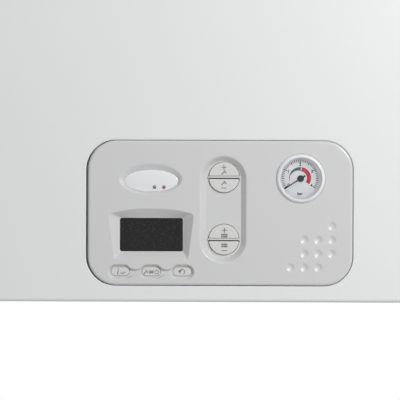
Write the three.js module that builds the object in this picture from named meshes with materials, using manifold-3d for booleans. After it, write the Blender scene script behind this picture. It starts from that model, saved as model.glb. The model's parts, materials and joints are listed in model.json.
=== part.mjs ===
// A wall-hung condensing combination boiler for gas, as an assembly of its separate pieces.
// Millimetres. X runs to the right seen from the front, the front faces -Y and Z is up.
// The wall is the plane Y = 0, and the origin is the centre of the wall bracket's face on it.

import * as THREE from 'three';
import { mergeVertices } from 'three/addons/utils/BufferGeometryUtils.js';
import Module from 'manifold-3d';

const manifold = await Module();
manifold.setup();

// Casing
const bodyWidth = 400;
const bodyHeight = 700;
const bodyDepth = 250;
const sheet = 1.2;
const bracketDrop = 45;
const frameStandoff = 4;
const coverReturn = 30;
const coverEdgeRadius = 10;
const coverRimRadius = 3.4;
const trayHeight = 60;

// Gaps and cuts
const seatGap = 0.3;
const coverGap = 1.2;
const keyGap = 0.35;
const overrun = 2;

// Control panel, with places measured from the middle of its raised panel
const fasciaWidth = 227;
const fasciaHeight = 125;
const fasciaRadius = 25;
const fasciaEdge = 2.2;
const fasciaProud = 1;
const fasciaDrop = 0.7;
const fasciaWall = 2.4;
const carrierDepth = 8.5;
const controlBoxWidth = bodyWidth * 0.915;
const controlBoxMargin = 5.5;
const controlBoxHeight = fasciaHeight + controlBoxMargin * 2;
const controlBoxDepth = bodyDepth * 0.272;
const controlBoxLift = 9;

const ovalX = -fasciaWidth * 0.2586;
const ovalZ = fasciaHeight * 0.2304;
const ovalHalfWidth = fasciaWidth * 0.1185;
const ovalHalfHeight = fasciaHeight * 0.1136;
const ovalDepth = 4.4;
const badgeZ = fasciaHeight * 0.2144;
const badgeHalfWidth = fasciaWidth * 0.0987;
const badgeHalfHeight = fasciaHeight * 0.0712;
const badgeThickness = 1.6;
const lampRadius = 1.4;
const lampZ = fasciaHeight * 0.172;
const greenLampX = -fasciaWidth * 0.2458;
const redLampX = -fasciaWidth * 0.2106;

const displayX = -fasciaWidth * 0.2573;
const displayZ = -fasciaHeight * 0.1488;
const displayWidth = fasciaWidth * 0.2335;
const displayHeight = fasciaHeight * 0.2208;
const displayRadius = 1.3;
const funnelTopWidth = fasciaWidth * 0.3189;
const funnelBottomWidth = fasciaWidth * 0.2775;
const funnelTopZ = -fasciaHeight * 0.0064;
const funnelBottomZ = -fasciaHeight * 0.3072;
const funnelRise = fasciaHeight * 0.0368;
const funnelRadius = 4.5;
const funnelDepth = 6;

const pillX = fasciaWidth * 0.0119;
const pillZ = fasciaHeight * 0.0208;
const pillWidth = fasciaWidth * 0.1802;
const pillHeight = fasciaHeight * 0.7392;
const pillFloorWidth = fasciaWidth * 0.1295;
const pillFloorHeight = fasciaHeight * 0.6576;
const pillDepth = 4.6;
const roundKeyRadius = pillFloorWidth * 0.466;
const waterKeyZ = fasciaHeight * 0.2408;
const heatingKeyZ = -fasciaHeight * 0.1832;
const keyWeb = 0.9;
const keyTravel = 1.2;
const roundKeyProud = 1.6;

const smallKeyWidth = fasciaWidth * 0.0718;
const smallKeyHeight = fasciaHeight * 0.0664;
const smallKeyPitch = fasciaWidth * 0.1163;
const smallKeyX = -fasciaWidth * 0.2573;
const smallKeyZ = -fasciaHeight * 0.4;
const smallKeyProud = 1.8;
const lobeWidth = fasciaWidth * 0.096;
const lobeHeight = fasciaHeight * 0.108;
const neckHeight = fasciaHeight * 0.0456;
const lobeDepth = 4;

const gaugeX = fasciaWidth * 0.3018;
const gaugeZ = fasciaHeight * 0.2336;
const gaugeRadius = fasciaHeight * 0.168;
const gaugeOpeningRadius = fasciaHeight * 0.1432;
const gaugeProud = 3;
const gaugeDepth = 16;
const needleLength = fasciaHeight * 0.1296;
const needleTail = fasciaHeight * 0.0384;
const needleZeroDegrees = 212.4;

const dimpleRadius = 3.9;
const dimpleDepth = 1.3;
const dimplePitch = fasciaHeight * 0.094;
const dimpleX = fasciaWidth * 0.2643;
const dimpleZ = -fasciaHeight * 0.0888;

// Flue, with the flue pipe in the middle and the air round it
const flueY = -bodyDepth * 0.5;
const flueBore = 60;
const airBore = 100;
const flueWall = 2.5;
const collarHeight = 62;

// Burner side
const drumX = -bodyWidth * 0.1;
const drumRadius = bodyWidth * 0.2375;
const drumLength = bodyDepth * 0.392;
const vesselWidth = bodyWidth * 0.8;
const vesselDepth = bodyDepth * 0.208;
const vesselTopDrop = 22;
const fanX = bodyWidth * 0.305;
const fanRadius = bodyWidth * 0.135;
const fanDepth = bodyDepth * 0.144;
const impellerRadius = bodyWidth * 0.11;
const impellerDepth = bodyDepth * 0.088;
const bladeCount = 12;

// Water side
const stubPitch = bodyWidth * 0.1625;
const stubY = -bodyDepth * 0.24;
const stubBore = 13;
const blockDepth = bodyDepth * 0.264;
const blockX = bodyWidth * 0.28;
const blockY = -bodyDepth * 0.432;
const plateCount = 10;
const plateExchangerDepth = bodyDepth * 0.216;
const pumpClearance = 17;
const pumpNeck = 12.8;
const pumpRadius = bodyWidth * 0.105;
const motorRadius = bodyWidth * 0.095;
const motorLength = bodyDepth * 0.272;
const pipeRadius = 9;
const gasPipeRadius = 7.5;
const smallPipeRadius = 5;
const pipeBend = 14;

// Places worked out from these sizes
const top = bracketDrop;
const bottom = bracketDrop - bodyHeight;
const front = -bodyDepth;
const halfWidth = bodyWidth / 2;
const fasciaFront = front - fasciaProud;
const controlBoxZ = bottom + controlBoxLift + controlBoxHeight / 2;
const fasciaZ = controlBoxZ - fasciaDrop;
const carrierFront = fasciaFront + carrierDepth;
const carrierBack = carrierFront + fasciaWall;
const controlBoxBack = carrierBack + seatGap + controlBoxDepth;
const panelFront = front + coverReturn + coverGap;
const plateTop = top - sheet - seatGap;
const frameFront = -frameStandoff - sheet;
const trayTop = bottom + trayHeight + sheet;
const pumpZ = controlBoxZ + controlBoxHeight / 2 + pumpClearance + motorRadius;
const blockHeight = pumpZ - pumpRadius - pumpNeck - trayTop;
const plateExchangerHeight = blockHeight * 11 / 14;
const upperRun = top - pumpZ;
const drumZ = top - upperRun * 0.39;
const fanZ = drumZ;
const vesselHeight = upperRun * 0.76;
const gasPipeLevel = pumpZ + pumpRadius + gasPipeRadius + pipeBend / 2;

// Turns a closed three.js geometry into a solid that can be cut and joined.
function solid(geometry) {
  const loose = geometry.index ? geometry.toNonIndexed() : geometry;
  loose.deleteAttribute('normal');
  loose.deleteAttribute('uv');
  const merged = mergeVertices(loose);
  const positions = merged.attributes.position;
  const corner = (index) => new THREE.Vector3().fromBufferAttribute(positions, index);
  const faces = [];
  let volume = 0;
  for (let i = 0; i < merged.index.count; i += 3) {
    const face = [0, 1, 2].map((step) => merged.index.getX(i + step));
    if (new Set(face).size === 3) {
      faces.push(...face);
      volume += corner(face[0]).dot(corner(face[1]).cross(corner(face[2])));
    }
  }
  if (volume < 0) faces.reverse();
  return new manifold.Manifold(new manifold.Mesh({
    numProp: 3,
    vertProperties: Float32Array.from(positions.array),
    triVerts: Uint32Array.from(faces),
  }));
}

function geometryOf(shape) {
  const mesh = shape.getMesh();
  const geometry = new THREE.BufferGeometry();
  geometry.setAttribute('position', new THREE.BufferAttribute(mesh.vertProperties, 3));
  geometry.setIndex(new THREE.BufferAttribute(mesh.triVerts, 1));
  geometry.computeVertexNormals();
  return geometry;
}

const join = (first, ...others) => others.reduce((whole, piece) => whole.add(piece), first);
const cut = (first, ...tools) => tools.reduce((rest, tool) => rest.subtract(tool), first);
const mix = (from, to, share) => from + (to - from) * share;
const steps = (count) => Array.from({ length: count }, (_, index) => index);
const bySide = (side, near, far) => (side > 0 ? [near, far] : [-far, -near]);

// Outlines are lists of points [u, v]: across X they read y, z, across Y x, z, and across Z x, y.
function roundedBox([u, v], width, height, radius, cornerSteps = 4) {
  const corners = [[1, 1, 0], [-1, 1, 1], [-1, -1, 2], [1, -1, 3]];
  return corners.flatMap(([sideU, sideV, turn]) => steps(cornerSteps + 1).map((step) => {
    const angle = (turn + step / cornerSteps) * Math.PI / 2;
    return [
      u + sideU * (width / 2 - radius) + radius * Math.cos(angle),
      v + sideV * (height / 2 - radius) + radius * Math.sin(angle),
    ];
  }));
}

const fullRoundShare = 0.98;
const capsule = (centre, width, height, endSteps = 4) => (
  roundedBox(centre, width, height, Math.min(width, height) / 2 * fullRoundShare, endSteps)
);

function ellipse([u, v], radiusU, radiusV, sides) {
  return steps(sides).map((side) => {
    const angle = side / sides * Math.PI * 2;
    return [u + radiusU * Math.cos(angle), v + radiusV * Math.sin(angle)];
  });
}

const rectangle = (u0, u1, v0, v1) => [[u0, v0], [u1, v0], [u1, v1], [u0, v1]];

// A folded sheet's section: the path is one face, and the thickness lies to the left of it.
function foldedOutline(path, thickness) {
  const points = path.map(([u, v]) => new THREE.Vector2(u, v));
  const normals = points.slice(1).map((point, index) => {
    const along = point.clone().sub(points[index]).normalize();
    return new THREE.Vector2(-along.y, along.x);
  });
  const inner = points.map((point, index) => {
    const before = normals[Math.max(index - 1, 0)];
    const after = normals[Math.min(index, normals.length - 1)];
    const mitre = before.clone().add(after).normalize();
    return point.clone().addScaledVector(mitre, thickness / mitre.dot(after));
  });
  return [...points, ...inner.reverse()].map((point) => [point.x, point.y]);
}

// Sets a shape drawn with its depth or axis last into place along the named axis.
const placements = {
  x: (a, b, depth) => [depth, a, b],
  y: (a, b, depth) => [a, depth, b],
  z: (a, b, depth) => [a, b, depth],
};

function setAlong(axis, geometry, [x, y, z] = [0, 0, 0]) {
  const positions = geometry.attributes.position;
  for (let i = 0; i < positions.count; i += 1) {
    const placed = placements[axis](positions.getX(i), positions.getY(i), positions.getZ(i));
    positions.setXYZ(i, placed[0] + x, placed[1] + y, placed[2] + z);
  }
  return solid(geometry);
}

function slab(axis, outline, from, to) {
  const shape = new THREE.Shape(outline.map(([u, v]) => new THREE.Vector2(u, v)));
  const geometry = new THREE.ExtrudeGeometry(shape, { depth: to - from, bevelEnabled: false });
  geometry.translate(0, 0, from);
  return setAlong(axis, geometry);
}

const box = (x0, x1, y0, y1, z0, z1) => slab('z', rectangle(x0, x1, y0, y1), z0, z1);

// A profile of [radius, height] points turned round an axis through the centre.
function turned(axis, centre, profile, sides = 24) {
  const points = profile.map(([radius, height]) => new THREE.Vector2(radius, height));
  const geometry = new THREE.LatheGeometry(points, sides);
  geometry.rotateX(Math.PI / 2);
  return setAlong(axis, geometry, centre);
}

const rod = (axis, centre, radius, from, to, sides) => (
  turned(axis, centre, [[0, from], [radius, from], [radius, to], [0, to]], sides)
);

const sleeve = (axis, centre, outer, inner, from, to, sides) => turned(
  axis, centre, [[inner, from], [outer, from], [outer, to], [inner, to], [inner, from]], sides,
);

// Joins outlines of equal point counts, each at its own depth along Y, into one closed form.
function loft(layers) {
  const count = layers[0].outline.length;
  const flatPoints = (outline) => outline.map((point) => new THREE.Vector2(...point));
  const clockwise = THREE.ShapeUtils.isClockWise(flatPoints(layers[0].outline));
  const outlines = layers.map(({ outline }) => (clockwise ? [...outline].reverse() : outline));
  const points = outlines.flatMap((outline, layer) => outline.map(([x, z]) => [x, layers[layer].y, z]));
  const faces = [];
  for (const layer of steps(layers.length - 1)) {
    for (const i of steps(count)) {
      const next = (i + 1) % count;
      const [a, b] = [layer * count + i, layer * count + next];
      faces.push([a, b, b + count], [a, b + count, a + count]);
    }
  }
  const addCap = (layer, turnedOver) => {
    for (const face of THREE.ShapeUtils.triangulateShape(flatPoints(outlines[layer]), [])) {
      const cap = face.map((index) => index + layer * count);
      faces.push(turnedOver ? cap.reverse() : cap);
    }
  };
  addCap(0, true);
  addCap(layers.length - 1, false);
  const geometry = new THREE.BufferGeometry();
  const corners = faces.flatMap((face) => face.flatMap((index) => points[index]));
  geometry.setAttribute('position', new THREE.Float32BufferAttribute(corners, 3));
  return solid(geometry);
}

// A round bar along straight runs, with a bend of the given radius at each inner point.
function bentBar(points, bendRadius, radius, barSteps = 20, sides = 10) {
  const path = new THREE.CurvePath();
  const corners = points.map(([x, y, z]) => new THREE.Vector3(x, y, z));
  let start = corners[0];
  corners.slice(1, -1).forEach((corner, index) => {
    const back = corners[index].clone().sub(corner).setLength(bendRadius).add(corner);
    const ahead = corners[index + 2].clone().sub(corner).setLength(bendRadius).add(corner);
    path.add(new THREE.LineCurve3(start, back));
    path.add(new THREE.QuadraticBezierCurve3(back, corner, ahead));
    start = ahead;
  });
  path.add(new THREE.LineCurve3(start, corners.at(-1)));
  const ring = ellipse([0, 0], radius, radius, sides).map((place) => new THREE.Vector2(...place));
  const section = new THREE.Shape(ring);
  return solid(new THREE.ExtrudeGeometry(section, {
    steps: barSteps, extrudePath: path, bevelEnabled: false,
  }));
}

// Wall bracket: a flat bar with two hooks, turned out of it, that the boiler hangs on
const bracketLength = bodyWidth * 0.75;
const bracketPlate = 2.5;
const bracketHeight = 44;
const hookWidth = bodyWidth * 0.15;
const hookSpacing = bodyWidth * 0.45;
const hookShelf = 6;
const hookReach = 9;
const hookRise = 22;
const slotWidth = 14;
const slotHeight = 8;
const slotPlaceShares = [0.3, 0.86];

function wallBracket() {
  const low = -bracketHeight / 2;
  const path = [[0, low], [0, hookShelf], [-hookReach, hookShelf], [-hookReach, hookRise]];
  const bar = slab('x', foldedOutline(path, bracketPlate), -bracketLength / 2, bracketLength / 2);
  const halfInner = (hookSpacing - hookWidth) / 2;
  const halfOuter = (hookSpacing + hookWidth) / 2;
  const clearAway = (x0, x1) => box(
    x0, x1, -hookReach - bracketPlate - overrun, -bracketPlate, low - overrun, hookRise + overrun,
  );
  const slots = slotPlaceShares.flatMap((slotShare) => [-1, 1].map((side) => slab(
    'y', capsule([side * slotShare * bracketLength / 2, low / 2], slotWidth, slotHeight, 2),
    -bracketPlate - overrun, overrun,
  )));
  return cut(
    bar, clearAway(-halfInner, halfInner), clearAway(-bracketLength / 2 - overrun, -halfOuter),
    clearAway(halfOuter, bracketLength / 2 + overrun), ...slots,
  );
}

// Rear frame: one sheet with side flanges, two pressed ribs and a window for each hook
const frameFlange = 28;
const ribDepth = 8;
const ribWidth = 40;
const ribSlope = 6;
const ribX = bodyWidth * 0.37;
const topFlange = 14;

function rearFrame() {
  const side = halfWidth - sheet - seatGap;
  const back = -frameStandoff;
  const ribPath = (x) => [
    [x - ribWidth / 2, back], [x - ribWidth / 2 + ribSlope, back - ribDepth],
    [x + ribWidth / 2 - ribSlope, back - ribDepth], [x + ribWidth / 2, back],
  ];
  const path = [
    [side, back - frameFlange], [side, back], ...ribPath(ribX).reverse(),
    ...ribPath(-ribX).reverse(), [-side, back], [-side, back - frameFlange],
  ];
  const panel = slab('z', foldedOutline(path, sheet), bottom, plateTop - sheet - seatGap);
  const windowTop = hookShelf + seatGap;
  const hookWindows = [-1, 1].map((sideSign) => {
    const x = sideSign * hookSpacing / 2;
    const halfWindow = hookWidth / 2 + overrun;
    return box(
      x - halfWindow, x + halfWindow, back - ribDepth - sheet - overrun, back + overrun,
      windowTop - hookRise, windowTop,
    );
  });
  const notches = [-1, 1].map((sideSign) => {
    const [x0, x1] = bySide(sideSign, side - sheet - seatGap, side + overrun);
    return box(
      x0, x1, back - frameFlange - overrun, frameFront, plateTop - topFlange - seatGap, top,
    );
  });
  return cut(panel, ...hookWindows, ...notches);
}

// Side panels: folded in at the back and the front
const panelReturn = 15;
const frontFold = 13;

function sidePanel(side) {
  const back = -frameStandoff + seatGap + sheet;
  const x = side * halfWidth;
  const path = [
    [x - side * panelReturn, back], [x, back], [x, panelFront], [x - side * frontFold, panelFront],
  ];
  if (side > 0) path.reverse();
  return slab('z', foldedOutline(path, sheet), bottom, top);
}

// Cover hooks: two tongues that lap over the top plate and drop into its slots
const tongueWidth = 60;
const tongueX = 120;
const tongueReach = 45;
const tongueDrop = 8;
const slotPlay = 7;

function topPlate() {
  const side = halfWidth - sheet - seatGap;
  const path = [
    [side, plateTop - topFlange], [side, plateTop], [-side, plateTop], [-side, plateTop - topFlange],
  ];
  const frontEdge = panelFront + sheet + seatGap;
  const plate = slab('y', foldedOutline(path, sheet), frontEdge, frameFront - seatGap);
  const flueHole = rod(
    'z', [0, flueY, 0], airBore / 2 - overrun, plateTop - sheet - overrun, plateTop + overrun, 20,
  );
  const tongueBack = front + tongueReach;
  const slots = [-1, 1].map((sideSign) => {
    const x = sideSign * tongueX;
    const halfSlot = tongueWidth / 2 + overrun;
    return box(
      x - halfSlot, x + halfSlot, tongueBack - slotPlay, tongueBack + overrun,
      plateTop - sheet - overrun, plateTop + overrun,
    );
  });
  return cut(plate, flueHole, ...slots);
}

// Front cover: a pan with rounded edges, a flanged cut-out for the panel and two hook tongues
function coverBlock(inset, frontInset, back) {
  const rim = coverRimRadius - Math.min(inset, coverRimRadius / 2);
  const edge = coverEdgeRadius - inset;
  const side = halfWidth - inset;
  const face = front + frontInset;
  const arcSteps = 3;
  const arc = (u, v, radius, startTurn) => steps(arcSteps + 1).map((step) => {
    const angle = (startTurn + step / arcSteps) * Math.PI / 2;
    return [u + radius * Math.cos(angle), v + radius * Math.sin(angle)];
  });
  const plan = [
    [side, back], [-side, back],
    ...arc(-side + edge, face + edge, edge, 2), ...arc(side - edge, face + edge, edge, 3),
  ];
  const profile = [
    [back, top - inset], ...arc(face + rim, top - inset - rim, rim, 1),
    ...arc(face + rim, bottom + inset + rim, rim, 2), [back, bottom + inset],
  ];
  return slab('z', plan, bottom - overrun, top + overrun)
    .intersect(slab('x', profile, -halfWidth - overrun, halfWidth + overrun));
}

const cutoutFlange = 5;

function frontCover() {
  const back = front + coverReturn;
  const pan = cut(coverBlock(0, 0, back), coverBlock(sheet, sheet, back + overrun));
  const opening = (grow) => roundedBox(
    [0, fasciaZ], fasciaWidth + (coverGap + grow) * 2, fasciaHeight + (coverGap + grow) * 2,
    fasciaRadius + coverGap + grow, 4,
  );
  const rim = slab('y', opening(sheet), front + sheet / 2, front + cutoutFlange);
  const hole = slab('y', opening(0), front - overrun, front + cutoutFlange + overrun);
  const tongueBack = front + tongueReach;
  const tonguePath = [
    [tongueBack, top - sheet - tongueDrop], [tongueBack, top], [back - overrun, top],
  ];
  const tongues = [-1, 1].map((side) => {
    const x = side * tongueX;
    return slab('x', foldedOutline(tonguePath, sheet), x - tongueWidth / 2, x + tongueWidth / 2);
  });
  return cut(join(pan, rim, ...tongues), hole);
}

// Cover seal: a foam strip on the front folds of the side panels, across the top and the box
const sealWidth = 9;
const sealDepth = 7;
const sealInset = 3;

function coverSeal() {
  const low = controlBoxZ + controlBoxHeight / 2 + seatGap;
  const high = plateTop - sealInset;
  const halfSeal = halfWidth - sealInset;
  const centre = [0, (low + high) / 2];
  const outline = (inset) => roundedBox(
    centre, (halfSeal - inset) * 2, high - low - inset * 2, sealWidth + sealInset - inset, 3,
  );
  return cut(
    slab('y', outline(0), panelFront - seatGap - sealDepth, panelFront - seatGap),
    slab('y', outline(sealWidth), panelFront - sealDepth - overrun, panelFront + overrun),
  );
}

// Base tray: the floor behind the control box, with a hole for everything that passes down
const trayRim = 12;
const trayFrontGap = 3;
const drainX = -bodyWidth * 0.43;
const drainRadius = 9;
const reliefX = bodyWidth * 0.42;
const reliefRadius = 9;
const fillX = bodyWidth * 0.195;
const fillY = -bodyDepth * 0.504;
const fillRadius = 7;
const stubHoleRadius = 11;
const fitSides = 10;

const stubPlaces = {
  heating_flow_stub: -2, hot_water_stub: -1, gas_stub: 0, cold_water_stub: 1, heating_return_stub: 2,
};

function baseTray() {
  const side = halfWidth - sheet - seatGap;
  const path = [
    [-side, trayTop - sheet + trayRim], [-side, trayTop - sheet],
    [side, trayTop - sheet], [side, trayTop - sheet + trayRim],
  ];
  const tray = slab(
    'y', foldedOutline(path, sheet), controlBoxBack + trayFrontGap,
    frameFront - frameFlange,
  );
  const backStrip = box(
    -side + overrun + sheet, side - overrun - sheet, frameFront - frameFlange - overrun,
    frameFront - ribDepth - seatGap, trayTop - sheet, trayTop,
  );
  const hole = (x, y, radius) => rod(
    'z', [x, y, 0], radius + seatGap, trayTop - sheet - overrun, trayTop + overrun, fitSides,
  );
  const stubHoles = Object.values(stubPlaces)
    .map((place) => hole(place * stubPitch, stubY, stubHoleRadius));
  return cut(
    join(tray, backStrip), ...stubHoles, hole(drainX, blockY, drainRadius),
    hole(reliefX, blockY, reliefRadius), hole(fillX, fillY, fillRadius),
  );
}

// Control fascia: a moulded shell whose recesses are tubs open to the front
const tubWall = 2.2;
const lipRound = 1.1;
const flankShares = [[0.4, 0.55], [1, 1]];

// A recess follows outline(share, grow) from its mouth, share 0, to its floor, share 1.
function recess(outline, depth, wall = 0) {
  const mouth = wall > 0 ? [] : [
    { outline: outline(0, lipRound), y: fasciaFront - overrun },
    { outline: outline(0, lipRound), y: fasciaFront },
  ];
  const flanks = (wall > 0 ? flankShares.slice(-1) : flankShares).map(([inwardShare, depthShare]) => ({
    outline: outline(inwardShare, wall), y: fasciaFront + lipRound + (depth - lipRound) * depthShare + wall,
  }));
  return loft([...mouth, { outline: outline(0, wall), y: fasciaFront + lipRound }, ...flanks]);
}

const onFascia = (x, z) => [x, fasciaZ + z];

function ovalOutline(share, grow) {
  const floorWidth = badgeHalfWidth + keyGap;
  const floorHeight = badgeHalfHeight + keyGap;
  return ellipse(
    onFascia(ovalX, mix(ovalZ, badgeZ, share)), mix(ovalHalfWidth, floorWidth, share) + grow,
    mix(ovalHalfHeight, floorHeight, share) + grow, 18,
  );
}

// The display's recess: straight sides that draw in downward, under a shallow arch
function funnelOutline(share, grow) {
  const halfTop = mix(funnelTopWidth, displayWidth, share) / 2 + grow;
  const halfBottom = mix(funnelBottomWidth, displayWidth, share) / 2 + grow;
  const high = mix(funnelTopZ, displayZ + displayHeight / 2, share) + grow;
  const low = mix(funnelBottomZ, displayZ - displayHeight / 2, share) - grow;
  const rise = mix(funnelRise, 0, share);
  const radius = mix(funnelRadius, displayRadius, share) + grow / 2;
  const archSteps = 4;
  const cornerSteps = 2;
  const corner = (x, z, startTurn) => steps(cornerSteps + 1).map((step) => {
    const angle = (startTurn + step / cornerSteps) * Math.PI / 2;
    return [x + radius * Math.cos(angle), z + radius * Math.sin(angle)];
  });
  const halfArch = halfTop - radius;
  const arch = steps(archSteps - 1).map((step) => {
    const along = 1 - (step + 1) / archSteps * 2;
    return [halfArch * along, high + rise * (1 - along * along)];
  });
  return [
    ...corner(halfTop - radius, high - radius, 0), ...arch, ...corner(radius - halfTop, high - radius, 1),
    ...corner(radius - halfBottom, low + radius, 2), ...corner(halfBottom - radius, low + radius, 3),
  ].map(([x, z]) => onFascia(displayX + x, z));
}

const pillOutline = (share, grow) => capsule(
  onFascia(pillX, pillZ), mix(pillWidth, pillFloorWidth, share) + grow * 2,
  mix(pillHeight, pillFloorHeight, share) + grow * 2, 4,
);

const smallKeyPlaces = { key_info: -1, key_mode: 0, key_reset: 1 };
const smallKeyCentre = (place) => onFascia(smallKeyX + place * smallKeyPitch, smallKeyZ);

const lobeOutline = (place) => (share, grow) => capsule(
  smallKeyCentre(place), mix(lobeWidth, smallKeyWidth + keyGap * 2, share) + grow * 2,
  mix(lobeHeight, smallKeyHeight + keyGap * 2, share) + grow * 2, 3,
);

const neckOutline = (share, grow) => roundedBox(
  smallKeyCentre(0), smallKeyPitch * 2, mix(neckHeight, neckHeight / 2, share) + grow * 2, lipRound, 1,
);

const recesses = [
  [ovalOutline, ovalDepth], [funnelOutline, funnelDepth], [pillOutline, pillDepth],
  ...Object.values(smallKeyPlaces).map((place) => [lobeOutline(place), lobeDepth]),
  [neckOutline, lobeDepth / 2],
];

const roundKeys = {
  key_water_plus: [waterKeyZ, 1], key_water_minus: [waterKeyZ, -1],
  key_heating_plus: [heatingKeyZ, 1], key_heating_minus: [heatingKeyZ, -1],
};

// One half of a round key: the upper half for side 1 and the lower half for side -1
function halfDisc(z, side, radius, flat) {
  const start = Math.asin(flat / radius);
  const arcSteps = 7;
  return steps(arcSteps + 1).map((step) => {
    const angle = start + (Math.PI - start * 2) * step / arcSteps;
    return onFascia(pillX + radius * Math.cos(angle), z + side * radius * Math.sin(angle));
  });
}

const dimpleRows = [[3], [1, 2, 3], [1, 2, 3], [0, 1, 2]];

function dimple(column, row) {
  const sphere = (dimpleRadius ** 2 + dimpleDepth ** 2) / dimpleDepth / 2;
  const spread = Math.asin(dimpleRadius / sphere);
  const arcSteps = 2;
  const arc = steps(arcSteps + 1).map((step) => {
    const angle = spread * step / arcSteps;
    return [sphere * Math.sin(angle), sphere * Math.cos(angle) - sphere + dimpleDepth];
  });
  const centre = [dimpleX + column * dimplePitch, fasciaFront, fasciaZ + dimpleZ - row * dimplePitch];
  return turned('y', centre, [...arc, [dimpleRadius, -overrun], [0, -overrun]], 8);
}

const lampPlaces = { lamp_green: greenLampX, lamp_red: redLampX };
const lampHole = (x, from, to) => rod(
  'y', [x, 0, fasciaZ + lampZ], lampRadius + seatGap, from, to, 8,
);

function controlFascia() {
  const centre = onFascia(0, 0);
  const raised = (inset, y) => ({
    outline: roundedBox(
      centre, fasciaWidth - inset * 2, fasciaHeight - inset * 2, fasciaRadius - inset, 4,
    ),
    y,
  });
  const edgeSteps = 2;
  const edgeLayers = steps(edgeSteps + 1).map((step) => {
    const angle = step / edgeSteps * Math.PI / 2;
    return raised(fasciaEdge * (1 - Math.cos(angle)), fasciaFront + fasciaEdge * (1 - Math.sin(angle)));
  });
  const panel = loft([raised(0, carrierBack), ...edgeLayers]);
  const carrierCentre = [0, controlBoxZ];
  const carrierOutline = roundedBox(carrierCentre, controlBoxWidth, controlBoxHeight, fasciaWall * 2, 3);
  const carrier = slab('y', carrierOutline, carrierFront, carrierBack);
  const hollow = loft([
    raised(fasciaWall, fasciaFront + fasciaWall), raised(fasciaWall, carrierBack + overrun),
  ]);
  const tubs = recesses.map(([outline, depth]) => recess(outline, depth, tubWall));
  const gaugeCentre = [gaugeX, 0, fasciaZ + gaugeZ];
  const gaugeHole = gaugeRadius - lipRound;
  const gaugeCollar = rod(
    'y', gaugeCentre, gaugeHole + tubWall, fasciaFront + fasciaWall / 2, carrierBack, 20,
  );
  const through = (outline, from) => slab('y', outline, from, carrierBack + fasciaWall + overrun);
  const keyHoles = Object.values(roundKeys).map(([z, side]) => through(
    halfDisc(z, side, roundKeyRadius + keyGap, keyWeb / 2), fasciaFront + lipRound,
  ));
  const smallHoles = Object.values(smallKeyPlaces).map((place) => through(capsule(
    smallKeyCentre(place), smallKeyWidth + keyGap * 2, smallKeyHeight + keyGap * 2, 3,
  ), fasciaFront + lipRound));
  const displayHole = through(roundedBox(
    onFascia(displayX, displayZ), displayWidth, displayHeight, displayRadius, 3,
  ), fasciaFront + lipRound);
  const lampHoles = Object.values(lampPlaces).map((x) => lampHole(x, fasciaFront, carrierBack));
  const gaugeThrough = rod('y', gaugeCentre, gaugeHole, fasciaFront - overrun, carrierBack + overrun, 20);
  return cut(
    join(cut(join(panel, carrier), hollow), ...tubs, gaugeCollar), displayHole, gaugeThrough,
    ...recesses.map(([outline, depth]) => recess(outline, depth)), ...keyHoles, ...smallHoles, ...lampHoles,
    ...dimpleRows.flatMap((columns, row) => columns.map((column) => dimple(column, row))),
  );
}

// Keys: a domed cap in its opening, a collar behind the fascia and a stem to its switch
const keyCollar = 1.3;
const keyCollarDepth = 1.5;
const keyEdge = 1;
const stemRadius = 2.2;
const boardSetback = 16;
const boardThickness = 1.6;
const switchHeight = 3.5;
const switchWidth = 6;
const boardFront = fasciaFront + boardSetback;
const stemEnd = boardFront - switchHeight - keyTravel - seatGap;

function key(outline, [x, z], depth, proud) {
  const face = fasciaFront + depth - proud;
  const collarFront = fasciaFront + depth + tubWall + seatGap;
  const cap = loft([
    { outline: outline(-keyEdge), y: face },
    { outline: outline(-keyEdge / 4), y: face + keyEdge / 4 },
    { outline: outline(0), y: face + keyEdge },
    { outline: outline(0), y: collarFront + keyCollarDepth / 2 },
  ]);
  const collar = slab('y', outline(keyCollar), collarFront, collarFront + keyCollarDepth);
  return join(cap, collar, rod('y', [x, 0, z], stemRadius, collarFront, stemEnd, 8));
}

function roundKey(z, side) {
  const outline = (grow) => halfDisc(
    z, side, roundKeyRadius + grow, keyWeb / 2 + keyGap + Math.max(-grow / 2, 0),
  );
  return key(outline, onFascia(pillX, z + side * roundKeyRadius / 2), pillDepth, roundKeyProud);
}

function smallKey(place) {
  const outline = (grow) => capsule(
    smallKeyCentre(place), smallKeyWidth + grow * 2, smallKeyHeight + grow * 2, 3,
  );
  return key(outline, smallKeyCentre(place), lobeDepth, smallKeyProud);
}

// Badge: a plain domed plate in the oval recess, pierced for the two lamps
function badgePlate() {
  const back = fasciaFront + ovalDepth - seatGap;
  const face = back - badgeThickness;
  const layer = (inset, y) => ({
    outline: ellipse(
      onFascia(ovalX, badgeZ), badgeHalfWidth - inset, badgeHalfHeight - inset, 18,
    ), y,
  });
  const dome = badgeThickness / 2;
  const plate = loft([
    layer(0, back), layer(0, face + dome), layer(dome / 2, face + dome / 3),
    layer(dome * 2, face), layer(badgeHalfHeight / 2, face - dome / 3),
  ]);
  return cut(plate, ...Object.values(lampPlaces).map((x) => lampHole(x, face - overrun, back + overrun)));
}

function lamp(x) {
  const face = fasciaFront + ovalDepth - seatGap - badgeThickness - lampRadius / 2;
  const end = boardFront - switchHeight / 2 - seatGap;
  const profile = [
    [0, face], [lampRadius * 0.6, face + lampRadius * 0.2], [lampRadius, face + lampRadius * 0.7],
    [lampRadius, end], [0, end],
  ];
  return turned('y', [x, 0, fasciaZ + lampZ], profile, 8);
}

// Display window: a clear plate with a rim that seats behind the fascia
const windowRim = 1.5;

function displayWindow() {
  const outline = (grow) => roundedBox(
    onFascia(displayX, displayZ), displayWidth + grow * 2, displayHeight + grow * 2, displayRadius, 2,
  );
  const floor = fasciaFront + funnelDepth;
  const rimFront = floor + tubWall + seatGap;
  return join(
    slab('y', outline(-seatGap), floor, rimFront + windowRim / 2),
    slab('y', outline(windowRim), rimFront, rimFront + windowRim),
  );
}

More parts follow.
